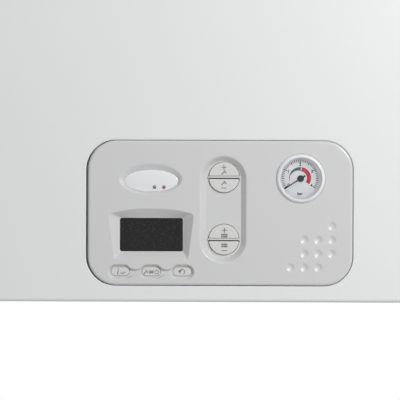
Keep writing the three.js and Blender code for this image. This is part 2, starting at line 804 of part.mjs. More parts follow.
// Circuit board with its switches, display block and lamp sockets
const boardEdge = 8.4;
const boardMargin = 12;
const boardRight = gaugeX + gaugeRadius + boardEdge;
const boardWidth = fasciaWidth * 1.04;
const boardHeight = controlBoxHeight - boardMargin * 2;
const boardX = boardRight - boardWidth / 2;

function circuitBoard() {
  const plate = slab('y', rectangle(
    boardX - boardWidth / 2, boardX + boardWidth / 2, fasciaZ - boardHeight / 2, fasciaZ + boardHeight / 2,
  ), boardFront, boardFront + boardThickness);
  const standing = ([x, z], width, height, length) => box(
    x - width / 2, x + width / 2, boardFront - length, boardFront + boardThickness / 2,
    z - height / 2, z + height / 2,
  );
  const switches = [
    ...Object.values(roundKeys).map(([z, side]) => onFascia(pillX, z + side * roundKeyRadius / 2)),
    ...Object.values(smallKeyPlaces).map(smallKeyCentre),
  ].map((place) => standing(place, switchWidth, switchWidth, switchHeight));
  const sockets = Object.values(lampPlaces).map((x) => (
    standing(onFascia(x, lampZ), lampRadius * 3, lampRadius * 3, switchHeight / 2)
  ));
  const windowBack = fasciaFront + funnelDepth + tubWall + seatGap + windowRim;
  const display = standing(
    onFascia(displayX, displayZ), displayWidth, displayHeight, boardFront - windowBack - seatGap,
  );
  const gaugeClear = rod(
    'y', [gaugeX, 0, fasciaZ + gaugeZ], gaugeRadius, boardFront - overrun,
    boardFront + boardThickness + overrun, 20,
  );
  return cut(join(plate, ...switches, ...sockets, display), gaugeClear);
}

// Control box: a tapered shell behind the fascia, with board posts, ears and a cable gland
const boxWall = 2.5;
const boxTaper = 9;
const postRadius = 3.5;
const earWidth = 12;
const earHeight = 26;
const glandRadius = 9;
const glandBore = 5;
const glandLength = 8;
const glandX = 140;

function controlBox() {
  const mouth = carrierBack + seatGap;
  const layer = (inset, y) => ({
    outline: roundedBox(
      [0, controlBoxZ], controlBoxWidth - inset * 2, controlBoxHeight - inset * 2, boxTaper, 3,
    ), y,
  });
  const inside = loft([
    layer(boxWall, mouth - overrun), layer(boxTaper + boxWall, controlBoxBack - boxWall),
  ]);
  const shell = cut(loft([layer(0, mouth), layer(boxTaper, controlBoxBack)]), inside);
  const posts = [-1, 1].flatMap((sideX) => [-1, 1].map((sideZ) => {
    const x = boardX + sideX * (boardWidth / 2 - postRadius * 2);
    const z = fasciaZ + sideZ * (boardHeight / 2 - postRadius * 2);
    return rod(
      'y', [x, 0, z], postRadius, boardFront + boardThickness + seatGap, controlBoxBack - boxWall / 2, 8,
    );
  }));
  const earInner = controlBoxWidth / 2 - boxTaper;
  const earOuter = controlBoxWidth / 2 + earWidth;
  const ears = [-1, 1].flatMap((sideX) => [-1, 1].map((sideZ) => {
    const z = controlBoxZ + sideZ * controlBoxHeight / 4;
    const [x0, x1] = bySide(sideX, earInner, earOuter);
    return box(
      x0, x1, panelFront - seatGap - boxWall, panelFront - seatGap, z - earHeight / 2, z + earHeight / 2,
    );
  }));
  const glandPlace = [glandX, 0, bottom + trayHeight / 2];
  const glandStart = controlBoxBack - boxWall;
  const glandEnd = controlBoxBack + glandLength;
  const gland = rod('y', glandPlace, glandRadius, glandStart, glandEnd, 12);
  const glandHole = rod('y', glandPlace, glandBore, glandStart - overrun, glandEnd + overrun, 12);
  return cut(join(shell, ...posts, ...ears.map((ear) => cut(ear, inside)), gland), glandHole);
}

// Pressure gauge: bezel, lens, dial, needle and body
const bezelTube = 0.5;
const bezelDepth = 6;
const lensThickness = 1.2;
const dialThickness = 0.8;
const dialSetback = 4.2;
const needleThickness = 0.7;
const hubRadius = 2.9;
const pinRadius = 0.8;
const gaugeCentre = [gaugeX, fasciaFront, fasciaZ + gaugeZ];
const tubeOuter = gaugeRadius - lipRound - seatGap;
const tubeInner = gaugeOpeningRadius + bezelTube;
const gaugeSides = 24;

function gaugeBezel() {
  return turned('y', gaugeCentre, [
    [gaugeOpeningRadius, -gaugeProud + bezelTube], [gaugeRadius - bezelTube * 3, -gaugeProud],
    [gaugeRadius, -gaugeProud / 2], [gaugeRadius, -seatGap], [tubeOuter, -seatGap], [tubeOuter, bezelDepth],
    [tubeInner, bezelDepth], [tubeInner, -gaugeProud + bezelTube * 3],
    [gaugeOpeningRadius, -gaugeProud + bezelTube * 3], [gaugeOpeningRadius, -gaugeProud + bezelTube],
  ], gaugeSides);
}

function gaugeLens() {
  const face = -gaugeProud + bezelTube * 3 + seatGap;
  return rod('y', gaugeCentre, tubeInner - seatGap, face, face + lensThickness, gaugeSides);
}

function gaugeDial() {
  return sleeve(
    'y', gaugeCentre, tubeInner - seatGap, pinRadius + seatGap, dialSetback,
    dialSetback + dialThickness, gaugeSides,
  );
}

function gaugeNeedle() {
  const dialFace = dialSetback - seatGap;
  const hubFront = dialFace - needleThickness * 3;
  const bladeBack = dialFace - needleThickness;
  const angle = needleZeroDegrees * Math.PI / 180;
  const [x, , z] = gaugeCentre;
  const point = (along, across) => [
    x + along * Math.cos(angle) - across * Math.sin(angle),
    z + along * Math.sin(angle) + across * Math.cos(angle),
  ];
  const blade = [
    point(needleLength, -pinRadius / 3), point(needleLength, pinRadius / 3), point(0, pinRadius),
    point(-needleTail, pinRadius * 1.6), point(-needleTail, -pinRadius * 1.6), point(0, -pinRadius),
  ];
  const pinEnd = dialSetback + dialThickness + bezelDepth / 2;
  return join(
    slab('y', blade, fasciaFront + bladeBack - needleThickness, fasciaFront + bladeBack),
    rod('y', gaugeCentre, hubRadius, hubFront, dialFace, 12),
    rod('y', gaugeCentre, pinRadius, hubFront, pinEnd, 6),
  );
}

function gaugeBody() {
  const bossFace = dialSetback + dialThickness + seatGap;
  const shoulder = bezelDepth + seatGap;
  const back = bezelDepth + gaugeDepth;
  const boreEnd = bossFace + bezelDepth;
  const tailRadius = gaugeRadius / 4;
  return turned('y', gaugeCentre, [
    [pinRadius + seatGap, bossFace], [tubeInner - seatGap, bossFace], [tubeInner - seatGap, shoulder],
    [tubeOuter, shoulder], [tubeOuter, back - lipRound], [tubeOuter - lipRound, back], [tailRadius, back],
    [tailRadius, back + bezelDepth], [0, back + bezelDepth], [0, boreEnd], [pinRadius + seatGap, boreEnd],
    [pinRadius + seatGap, bossFace],
  ], 16);
}

// Flue adapter: two pipes in one collar, joined by webs, on a gasket
const adapterFlange = 14;
const adapterFlangeDepth = 4;
const gasketDepth = 2;
const adapterTail = 20;
const webCount = 3;
const webWidth = 3;
const webHeight = 16;
const testPortRadius = 6;
const flueSides = 16;
const flueTop = top + collarHeight;
const flueAxis = [0, flueY, 0];
const innerPipe = flueBore / 2 + flueWall;
const outerPipe = airBore / 2 + flueWall;
const gasketTop = plateTop + seatGap + gasketDepth;
const adapterBottom = gasketTop + seatGap;

function flueGasket() {
  return sleeve('z', flueAxis, outerPipe + adapterFlange, airBore / 2, plateTop + seatGap, gasketTop, 20);
}

function flueAdapter() {
  const collar = turned('z', flueAxis, [
    [airBore / 2, adapterBottom], [outerPipe + adapterFlange, adapterBottom],
    [outerPipe + adapterFlange, adapterBottom + adapterFlangeDepth],
    [outerPipe, adapterBottom + adapterFlangeDepth * 2], [outerPipe, flueTop - adapterFlangeDepth],
    [outerPipe + flueWall, flueTop - adapterFlangeDepth / 2], [outerPipe + flueWall, flueTop],
    [airBore / 2, flueTop], [airBore / 2, adapterBottom],
  ], 20);
  const inner = sleeve(
    'z', flueAxis, innerPipe, flueBore / 2, plateTop - adapterTail, flueTop - adapterFlangeDepth, flueSides,
  );
  const webs = steps(webCount).map((web) => {
    const angle = (web + 1 / 2) / webCount * Math.PI * 2;
    const across = [-Math.sin(angle) * webWidth / 2, Math.cos(angle) * webWidth / 2];
    const point = (radius, side) => [
      radius * Math.cos(angle) + side * across[0], flueY + radius * Math.sin(angle) + side * across[1],
    ];
    const [near, far] = [innerPipe - flueWall / 2, outerPipe - flueWall / 2];
    return slab(
      'z', [point(near, -1), point(far, -1), point(far, 1), point(near, 1)],
      adapterBottom, adapterBottom + webHeight,
    );
  });
  const ports = [-1, 1].map((side) => rod(
    'y', [side * testPortRadius * 2, flueY, top + collarHeight / 2], testPortRadius,
    -outerPipe - testPortRadius, -airBore / 2 - flueWall / 2, 8,
  ));
  return join(collar, inner, ...webs, ...ports);
}

// Heat exchanger: a coiled drum with the burner door on its front, and its pipe connections
const vesselBack = -frameStandoff - ribDepth - sheet - seatGap;
const vesselFront = vesselBack - vesselDepth;
const drumBack = vesselFront - seatGap;
const drumFront = drumBack - drumLength;
const drumAxis = [drumX, 0, drumZ];
const coilCount = 3;
const coilDepth = 4;
const connectionOffset = bodyWidth * 0.1;
const connectionRadius = 11;
const connectionEnd = drumZ - drumRadius - connectionRadius / 2;
const outletTop = drumZ + drumRadius + seatGap * 10;
const socketDepth = 14;
const drainY = -bodyDepth * 0.568;

function heatExchanger() {
  const pitch = drumLength / coilCount;
  const coils = steps(coilCount).flatMap((coil) => [
    [drumRadius - coilDepth, drumBack - coil * pitch], [drumRadius, drumBack - (coil + 0.25) * pitch],
    [drumRadius, drumBack - (coil + 0.75) * pitch],
  ]);
  const drum = turned(
    'y', drumAxis, [[0, drumBack], ...coils, [drumRadius - coilDepth, drumFront], [0, drumFront]], 18,
  );
  const outlet = rod('z', flueAxis, innerPipe + seatGap, drumZ, outletTop, 16);
  const socket = rod('z', flueAxis, flueBore / 2, outletTop - socketDepth, outletTop + overrun, flueSides);
  const connections = [-1, 1].map((side) => rod(
    'z', [drumX + side * connectionOffset, blockY, 0], connectionRadius, connectionEnd, drumZ, 10,
  ));
  const drain = rod('z', [drumX, drainY, 0], connectionRadius, connectionEnd, drumZ, 10);
  return cut(join(drum, outlet, ...connections, drain), socket);
}

function flueDuct() {
  return sleeve(
    'z', flueAxis, flueBore / 2 - seatGap, flueBore / 2 - flueWall, outletTop - socketDepth + seatGap,
    plateTop - adapterTail / 3, flueSides,
  );
}

const doorFlange = 6;
const doorRadius = bodyWidth * 0.22;
const domeRadius = bodyWidth * 0.17;
const domeDepth = bodyDepth * 0.056;
const fanBack = drumFront - seatGap * 8;
const fanFront = fanBack - fanDepth;
const fanWall = 3;
const outletLow = bodyWidth * 0.07;
const outletHigh = bodyWidth * 0.14;
const ductEnd = fanX - fanRadius - fanWall;

function burnerDoor() {
  const face = drumFront - seatGap;
  const door = turned('y', drumAxis, [
    [0, face], [doorRadius, face], [doorRadius, face - doorFlange], [domeRadius, face - doorFlange],
    [domeRadius * 0.9, face - doorFlange - domeDepth], [0, face - doorFlange - domeDepth * 1.4],
  ], 22);
  const duct = box(
    drumX, ductEnd, fanFront + fanWall, fanBack - fanWall, drumZ + outletLow, drumZ + outletHigh,
  );
  return join(door, duct);
}

function ignitionElectrode() {
  const face = drumFront - seatGap - doorFlange - seatGap;
  const offset = (doorRadius + domeRadius) / 2 * Math.SQRT1_2;
  const centre = [drumX - offset, face, drumZ - offset];
  const half = doorRadius / 10;
  const ceramic = half / 2;
  const outline = roundedBox([centre[0], centre[2]], half * 2, half * 2, ceramic, 2);
  const plate = slab('y', outline, face - sheet, face);
  return join(plate, turned('y', centre, [
    [0, -sheet / 2], [ceramic, -sheet / 2], [ceramic, -half * 2], [ceramic / 3, -half * 2.4],
    [ceramic / 3, -half * 3], [0, -half * 3],
  ], 10));
}

// Fan: a spiral housing that blows into the burner door's duct, with its impeller and motor
const inletRadius = bodyWidth * 0.06;
const shaftRadius = 3;
const shaftReach = 7;

function spiral(inset) {
  const sides = 20;
  return steps(sides).map((side) => {
    const turnShare = side / sides;
    const angle = Math.PI / 2 - turnShare * Math.PI * 2;
    const radius = mix(impellerRadius + fanWall * 2, fanRadius + fanWall, 1 - turnShare) - inset;
    return [fanX + radius * Math.cos(angle), fanZ + radius * Math.sin(angle)];
  });
}

function fanHousing() {
  const outletStart = ductEnd + seatGap;
  const shell = join(
    slab('y', spiral(0), fanFront, fanBack),
    box(outletStart, fanX, fanFront, fanBack, fanZ + outletLow - fanWall, fanZ + outletHigh + fanWall / 2),
  );
  const hollow = join(
    slab('y', spiral(fanWall), fanFront + fanWall, fanBack - fanWall),
    box(
      outletStart - overrun, fanX, fanFront + fanWall, fanBack - fanWall,
      fanZ + outletLow, fanZ + outletHigh - fanWall / 2,
    ),
  );
  const axis = [fanX, 0, fanZ];
  return cut(
    shell, hollow, rod('y', axis, inletRadius, fanBack - fanWall - overrun, fanBack + overrun, 16),
    rod('y', axis, shaftRadius * 2, fanFront - overrun, fanFront + fanWall + overrun, 12),
  );
}

function fanImpeller() {
  const discFront = fanFront + fanWall * 2;
  const bladesEnd = discFront + impellerDepth;
  const plate = fanWall / 2;
  const axis = [fanX, 0, fanZ];
  const disc = rod('y', axis, impellerRadius, discFront, discFront + plate, 18);
  const ring = sleeve('y', axis, impellerRadius, inletRadius, bladesEnd - plate, bladesEnd, 18);
  const hub = rod('y', axis, shaftRadius * 3, discFront, discFront + impellerDepth / 2, 10);
  const shaft = rod('y', axis, shaftRadius, fanFront - shaftReach, discFront + plate, 8);
  const bladeRoot = inletRadius;
  const bladeTip = impellerRadius - plate / 2;
  const sweepDegrees = 28;
  const blades = steps(bladeCount).map((blade) => {
    const point = (share, side) => {
      const radius = mix(bladeRoot, bladeTip, share);
      const thick = side * plate / 2 / radius;
      const angle = blade / bladeCount * Math.PI * 2 + sweepDegrees * share * share * Math.PI / 180 + thick;
      return [fanX + radius * Math.cos(angle), fanZ + radius * Math.sin(angle)];
    };
    const outline = [point(0, -1), point(0.5, -1), point(1, -1), point(1, 1), point(0.5, 1), point(0, 1)];
    return slab('y', outline, discFront + plate / 2, bladesEnd - plate / 2);
  });
  return join(disc, ring, hub, shaft, ...blades);
}

const fanMotorRadius = bodyWidth * 0.0825;
const fanMotorLength = bodyDepth * 0.128;

function fanMotor() {
  const face = -seatGap;
  const bore = shaftRadius + seatGap;
  return turned('y', [fanX, fanFront, fanZ], [
    [bore, face], [fanMotorRadius, face], [fanMotorRadius, -fanMotorLength * 0.6],
    [fanMotorRadius * 0.85, -fanMotorLength * 0.7], [fanMotorRadius * 0.85, -fanMotorLength],
    [0, -fanMotorLength], [0, -shaftReach - bore], [bore, -shaftReach - bore], [bore, face],
  ], 18);
}

// Gas and air mixer: a venturi behind the fan, with its gas inlet below and the silencer behind it
const mixerLength = bodyDepth * 0.208;
const mixerY = fanBack + seatGap + mixerLength / 2;
const mixerBack = fanBack + seatGap + mixerLength;
const mixerRadius = bodyWidth * 0.065;
const mixerStub = 8;
const mixerStubEnd = fanZ - mixerRadius * 2.4;

function gasAirMixer() {
  const face = fanBack + seatGap;
  const at = (share) => face + mixerLength * share;
  const axis = [fanX, 0, fanZ];
  const body = turned('y', axis, [
    [0, face], [mixerRadius * 1.3, face], [mixerRadius * 1.3, at(0.1)], [mixerRadius * 0.85, at(0.2)],
    [mixerRadius * 0.85, at(0.65)], [mixerRadius, at(0.85)], [mixerRadius, mixerBack], [0, mixerBack],
  ], 18);
  const stub = rod('z', [fanX, mixerY, 0], mixerStub, mixerStubEnd, fanZ, 12);
  const throat = turned('y', axis, [
    [0, face - overrun], [mixerRadius * 0.7, face - overrun], [mixerRadius * 0.5, at(0.45)],
    [mixerRadius * 0.8, mixerBack + overrun], [0, mixerBack + overrun],
  ], 14);
  return cut(join(body, stub), throat);
}

const silencerWidth = bodyWidth * 0.23;
const silencerHeight = upperRun * 0.392;
const silencerDrop = upperRun * 0.092;
const silencerWall = 2.5;

function airIntakeSilencer() {
  const face = mixerBack + seatGap;
  const back = vesselFront - seatGap;
  const centre = [fanX, fanZ - silencerDrop + silencerHeight / 2];
  const outline = (inset) => roundedBox(
    centre, silencerWidth - inset * 2, silencerHeight - inset * 2, silencerWall * 4 - inset, 2,
  );
  const layers = (inset, from, to) => slab('y', outline(inset), from, to);
  const intake = box(
    fanX - silencerWidth / 4, fanX + silencerWidth / 4, face + silencerWall * 2, back - silencerWall * 2,
    centre[1] + silencerHeight / 2 - silencerWall * 2, centre[1] + silencerHeight / 2 + overrun,
  );
  return cut(
    layers(0, face, back), layers(silencerWall, face + silencerWall, back - silencerWall), intake,
    rod('y', [fanX, 0, fanZ], mixerRadius * 0.8, face - overrun, face + silencerWall + overrun, 16),
  );
}

// Gas valve: a cast block with two coils on its front, an outlet above and an inlet below
const valveWidth = bodyWidth * 0.13;
const valveDepth = bodyDepth * 0.232;
const coilRadius = 14;
const coilReach = bodyDepth * 0.096;
const valveHeight = upperRun * 0.168;
const valveDrop = 18.5;
const valveBottom = gasPipeLevel + valveDrop + mixerStub;
const valveTop = valveBottom + valveHeight;
const valveZ = valveBottom + valveHeight / 2;
const inletEnd = valveBottom - mixerStub;

function gasValve() {
  const centre = [fanX, mixerY];
  const outline = roundedBox(centre, valveWidth, valveDepth, coilRadius / 2, 2);
  const block = slab('z', outline, valveBottom, valveTop);
  const face = mixerY - valveDepth / 2;
  const coils = [-1, 1].map((side) => rod(
    'y', [fanX, 0, valveZ + side * valveHeight / 4], coilRadius, face - coilReach, mixerY, 12,
  ));
  const outlet = rod('z', [fanX, mixerY, 0], mixerStub, valveZ, mixerStubEnd - seatGap, 12);
  const inlet = rod('z', [fanX, mixerY, 0], gasPipeRadius + flueWall, inletEnd, valveZ, 12);
  return join(block, ...coils, outlet, inlet);
}

// Expansion vessel: a flat tank with rounded rims in front of the rear frame
const vesselRim = 12;
const vesselCorner = 52;
const vesselZ = plateTop - vesselTopDrop - vesselHeight / 2;
const vesselPortX = bodyWidth * 0.175;
const vesselPortEnd = vesselZ - vesselHeight / 2 - vesselRim;
const vesselMiddleY = (vesselBack + vesselFront) / 2;

function expansionVessel() {
  const layer = (inset, y) => ({
    outline: roundedBox(
      [0, vesselZ], vesselWidth - inset * 2, vesselHeight - inset * 2, vesselCorner - inset, 4,
    ), y,
  });
  const tank = loft([
    layer(vesselRim, vesselFront), layer(vesselRim / 4, vesselFront + vesselRim / 3),
    layer(0, vesselFront + vesselRim), layer(0, vesselBack - vesselRim),
    layer(vesselRim / 4, vesselBack - vesselRim / 3), layer(vesselRim, vesselBack),
  ]);
  const port = rod('z', [vesselPortX, vesselMiddleY, 0], smallPipeRadius * 1.4, vesselPortEnd, vesselZ, 10);
  return join(tank, port);
}

// Connection stubs: a tube up through the tray, a hexagon below it and a tail with its bore
const stubTube = 10.5;
const hexRadius = 15;
const hexHeight = 8;
const stubTail = 26;
const stubRise = 6;
const boreDepth = 22;
const trayUnder = trayTop - sheet;

function connectionStub(place) {
  const x = place * stubPitch;
  const hexTop = trayUnder - seatGap;
  const end = hexTop - hexHeight - stubTail;
  return cut(
    join(
      rod('z', [x, stubY, 0], stubTube, end, trayTop + stubRise, fitSides),
      rod('z', [x, stubY, 0], hexRadius, hexTop - hexHeight, hexTop, 6),
    ),
    rod('z', [x, stubY, 0], stubBore / 2, end - overrun, end + boreDepth, 8),
  );
}

// Water blocks: moulded bodies on the tray whose feet fit over the stubs
const footHeight = 9;
const footBack = stubY + stubTube + footHeight / 2;
const barrelRadius = bodyWidth * 0.05;
const crossRadius = 17;
const crossZ = trayTop + blockHeight * 17 / 28;
const exchangerHalf = bodyWidth * 0.155;
const blockTop = trayTop + blockHeight;
const portRadius = bodyWidth * 0.0275;
const portX = drumX - connectionOffset;
const portTop = blockTop + stubRise;
const vesselBossRadius = 8;
const vesselBossTop = crossZ + barrelRadius;
const reliefReach = bodyWidth * 0.095;

function waterBlock(side, extras) {
  const foot = trayTop + seatGap;
  const [x0, x1] = bySide(side, stubPitch - hexRadius, stubPitch * 2 + hexRadius);
  const plate = slab('z', roundedBox(
    [(x0 + x1) / 2, (footBack + blockY - blockDepth / 2) / 2], x1 - x0,
    footBack - blockY + blockDepth / 2, footHeight, 2,
  ), foot, foot + footHeight);
  const barrel = rod('z', [side * blockX, blockY, 0], barrelRadius, foot, blockTop, 12);
  const crossEnds = bySide(side, exchangerHalf + seatGap, blockX);
  const cross = rod('x', [0, blockY, crossZ], crossRadius, ...crossEnds, 10);
  const nose = rod(
    'y', [side * blockX, 0, crossZ], crossRadius * 0.8, blockY - blockDepth / 2 - footHeight, blockY, 10,
  );
  const sockets = [1, 2].map((place) => rod(
    'z', [side * place * stubPitch, stubY, 0], stubTube + seatGap, foot - overrun,
    trayTop + stubRise + seatGap, fitSides,
  ));
  return cut(join(plate, barrel, cross, nose, ...extras), ...sockets);
}

function flowManifold() {
  const port = rod('z', [portX, blockY, 0], portRadius, crossZ, portTop, 12);
  return waterBlock(-1, [port]);
}

function returnManifold() {
  const vesselArm = rod(
    'y', [blockX, 0, crossZ], vesselBossRadius * 1.4, blockY, vesselMiddleY + vesselBossRadius, 10,
  );
  const vesselBoss = rod('z', [blockX, vesselMiddleY, 0], vesselBossRadius, crossZ, vesselBossTop, 10);
  const reliefArm = rod('x', [0, blockY, crossZ], portRadius, blockX, blockX + reliefReach, 10);
  const fillSocket = rod(
    'z', [fillX, fillY, 0], fillRadius, trayTop, trayTop + stubRise + seatGap, fitSides,
  );
  return cut(waterBlock(1, [vesselArm, vesselBoss, reliefArm]), fillSocket);
}

// Plate heat exchanger: a stack of dished plates between the two blocks
function plateHeatExchanger() {
  const pitch = plateExchangerDepth / plateCount;
  const lip = pitch / 3;
  const layers = steps(plateCount).flatMap((plate) => {
    const y = blockY - plateExchangerDepth / 2 + plate * pitch;
    const outline = (inset) => roundedBox(
      [0, crossZ], (exchangerHalf - inset) * 2, plateExchangerHeight - inset * 2, portRadius - inset, 1,
    );
    return [{ outline: outline(0), y }, { outline: outline(lip), y: y + pitch * 0.8 }];
  });
  return loft(layers);
}

// Pump: a volute on the return block with its air vent, and its motor to the front
const pumpDepth = bodyDepth * 0.2;
const pumpOutletOffset = bodyWidth * 0.075;
const pumpOutletRise = 50;
const pumpOutletX = blockX - pumpOutletOffset;
const pumpOutletTop = pumpZ + pumpOutletRise;
const ventOffset = bodyWidth * 0.0725;
const ventRise = 66;
const ventX = blockX + ventOffset;
const ventRadius = 9;
const ventTop = pumpZ + ventRise;
const neckRadius = 16;

function pumpBody() {
  const back = blockY + pumpDepth / 2;
  const face = blockY - pumpDepth / 2;
  const volute = turned('y', [blockX, 0, pumpZ], [
    [0, back], [pumpRadius * 0.7, back], [pumpRadius, back - pumpDepth / 4],
    [pumpRadius, face + pumpDepth / 4], [pumpRadius * 0.85, face], [0, face],
  ], 18);
  const inlet = rod('z', [blockX, blockY, 0], neckRadius, blockTop + seatGap, pumpZ, 12);
  const outlet = rod('z', [pumpOutletX, blockY, 0], portRadius, pumpZ, pumpOutletTop, 12);
  const vent = turned('z', [ventX, blockY, 0], [
    [0, pumpZ], [ventRadius * 0.6, pumpZ], [ventRadius * 0.6, ventTop - ventRadius * 3.2],
    [ventRadius, ventTop - ventRadius * 2.8], [ventRadius, ventTop - ventRadius / 2],
    [ventRadius / 3, ventTop - ventRadius / 2], [ventRadius / 3, ventTop], [0, ventTop],
  ], 10);
  return join(volute, inlet, outlet, vent);
}

function pumpMotor() {
  const face = blockY - pumpDepth / 2 - seatGap;
  const end = face - motorLength;
  return turned('y', [blockX, 0, pumpZ], [
    [0, face], [motorRadius, face], [motorRadius, face - motorLength * 0.75],
    [motorRadius * 0.88, face - motorLength * 0.85], [motorRadius * 0.88, end],
    [motorRadius * 0.25, end], [motorRadius * 0.25, end + sheet * 2], [0, end + sheet * 2],
  ], 18);
}

function diverterMotor() {
  const foot = blockTop + seatGap;
  return turned('z', [-blockX, blockY, 0], [
    [0, foot], [barrelRadius, foot], [barrelRadius, foot + barrelRadius / 2],
    [barrelRadius * 0.8, foot + barrelRadius * 0.7], [barrelRadius * 0.9, foot + barrelRadius * 0.9],
    [barrelRadius * 0.9, foot + barrelRadius * 2.8], [barrelRadius * 0.7, foot + barrelRadius * 3],
    [0, foot + barrelRadius * 3],
  ], 16);
}

// Pipes
function flowPipe() {
  const end = connectionEnd - seatGap;
  return bentBar([[portX, blockY, portTop + seatGap], [portX, blockY, end]], pipeBend, pipeRadius, 1, 12);
}

function returnPipe() {
  const start = pumpOutletTop + seatGap;
  const end = connectionEnd - seatGap;
  const rise = pipeBend * 2;
  const returnX = drumX + connectionOffset;
  return bentBar([
    [pumpOutletX, blockY, start], [pumpOutletX, blockY, start + rise],
    [returnX, blockY, start + rise * 2], [returnX, blockY, end],
  ], pipeBend, pipeRadius, 11, 8);
}

function vesselPipe() {
  const start = vesselBossTop + seatGap;
  const end = vesselPortEnd - seatGap;
  const jog = pipeBend * 2;
  return bentBar([
    [blockX, vesselMiddleY, start], [blockX, vesselMiddleY, start + jog],
    [vesselPortX, vesselMiddleY, start + jog * 2], [vesselPortX, vesselMiddleY, end],
  ], pipeBend, smallPipeRadius, 11, 6);
}

function gasPipe() {
  return bentBar([
    [0, stubY, trayTop + stubRise + seatGap], [0, stubY, gasPipeLevel], [fanX, stubY, gasPipeLevel],
    [fanX, mixerY, gasPipeLevel], [fanX, mixerY, inletEnd - seatGap],
  ], pipeBend - seatGap, gasPipeRadius, 22, 7);
}

// Condensate trap: a bottle on the tray with its drain through it and its pipe from the drum
const trapRadius = bodyWidth * 0.0525;
const trapHeight = 150;
const trapPipeRadius = 6;
const drainReach = 34;

function condensateTrap() {
  const foot = trayTop + seatGap;
  const bottle = turned('z', [drainX, blockY, 0], [
    [0, foot - drainReach], [drainRadius, foot - drainReach], [drainRadius, foot],
    [trapRadius * 0.9, foot], [trapRadius, foot + trapRadius / 2], [trapRadius, foot + trapHeight * 0.8],
    [trapRadius * 0.6, foot + trapHeight * 0.9], [trapRadius * 0.6, foot + trapHeight],
    [0, foot + trapHeight],
  ], 10);
  const rise = foot + trapHeight + trapRadius * 3;
  const pipe = bentBar([
    [drainX, blockY, foot + trapHeight - trapRadius], [drainX, blockY, rise],
    [drainX, drainY, rise + trapRadius],
    [drumX, drainY, connectionEnd - trapRadius * 2], [drumX, drainY, connectionEnd - seatGap],
  ], pipeBend, trapPipeRadius, 18, 6);
  const bore = rod('z', [drainX, blockY, 0], trapPipeRadius, foot - drainReach - overrun, foot - sheet, 8);
  return cut(join(bottle, pipe), bore);
}

// Safety valve and filling tap, each with a lobed knob under the tray
const knobLobes = 8;
const knobDepth = 15;
const reliefKnobRadius = 15;
const fillKnobRadius = 13;
const knobStem = 3.5;
const stemDepth = 9;
const lobeShare = 0.08;
const fillBodyHeight = 22;

const reliefEnd = trayUnder - stubRise;
const fillEnd = trayUnder - seatGap - fillBodyHeight;

function lobedKnob(x, y, seat, radius) {
  const sides = knobLobes * 3;
  const outline = steps(sides).map((side) => {
    const angle = side / sides * Math.PI * 2;
    const reach = radius * (1 - lobeShare + lobeShare * Math.cos(angle * knobLobes));
    return [x + reach * Math.cos(angle), y + reach * Math.sin(angle)];
  });
  const face = seat - seatGap;
  return join(
    slab('z', outline, face - knobDepth, face),
    rod('z', [x, y, 0], knobStem, face - knobDepth / 2, seat + stemDepth - seatGap, 10),
  );
}

const stemBore = (x, y, seat) => (
  rod('z', [x, y, 0], knobStem + seatGap, seat - overrun, seat + stemDepth, 10)
);

function safetyValve() {
  const start = blockX + reliefReach + seatGap;
  const body = join(
    rod('x', [0, blockY, crossZ], portRadius, start, reliefX, 12),
    rod('z', [reliefX, blockY, 0], portRadius * 1.2, trayTop + seatGap, crossZ + portRadius * 1.5, 14),
    rod('z', [reliefX, blockY, 0], reliefRadius - seatGap, reliefEnd, crossZ, fitSides),
  );
  return cut(body, stemBore(reliefX, blockY, reliefEnd));
}

function fillingTap() {
  const hexTop = trayUnder - seatGap;
  const body = join(
    rod('z', [fillX, fillY, 0], fillRadius - seatGap, hexTop - hexHeight, trayTop + stubRise, fitSides),
    rod('z', [fillX, fillY, 0], hexRadius * 0.8, hexTop - hexHeight, hexTop, 6),
    rod('z', [fillX, fillY, 0], fillRadius * 1.3, fillEnd, hexTop - hexHeight / 2, 14),
  );
  return cut(body, stemBore(fillX, fillY, fillEnd));
}

// Finishes: colour, roughness and metalness
const finish = (color, roughness, metalness = 0) => () => (
  new THREE.MeshStandardMaterial({ color, roughness, metalness })
);
const casingPaint = finish(0xe3e5e6, 0.42);
const galvanised = finish(0xb4b9bb, 0.42, 0.85);
const fasciaPlastic = finish(0xcfcfd0, 0.5);
const keyPlastic = finish(0xcbcbc9, 0.55);
const glossWhite = finish(0xf1f2f3, 0.18);
const darkWindow = finish(0x2a2829, 0.2);
const greenLamp = finish(0x3f9a5c, 0.25);
const redLamp = finish(0xb5223f, 0.25);
const dialFace = finish(0xd3d5d9, 0.6);
const needleBlack = finish(0x1c1c1e, 0.45);
const boardGreen = finish(0x1f5a3c, 0.5);
const greyPlastic = finish(0x6e7276, 0.55);
const blackPlastic = finish(0x2b2d2f, 0.5);
const bluePlastic = finish(0x2d5f9e, 0.45);
const redPlastic = finish(0xb3261e, 0.45);
const whitePlastic = finish(0xe8e8e4, 0.5);
const rubber = finish(0x26272a, 0.85);
const castAluminium = finish(0xa9adb0, 0.45, 0.9);
const stainless = finish(0xc4c7c9, 0.3, 1);
const brass = finish(0xb9954f, 0.35, 1);
const copper = finish(0xb8734a, 0.35, 1);
const vesselRed = finish(0xa8322a, 0.45);
const ceramic = finish(0xe9e4da, 0.35);

function lensGlass() {
  const glass = new THREE.MeshStandardMaterial({ color: 0xffffff, roughness: 0.05, metalness: 0 });
  glass.transparent = true;
  glass.opacity = 0.25;
  return glass;
}

const boiler = new THREE.Group();
boiler.name = 'gas_boiler';

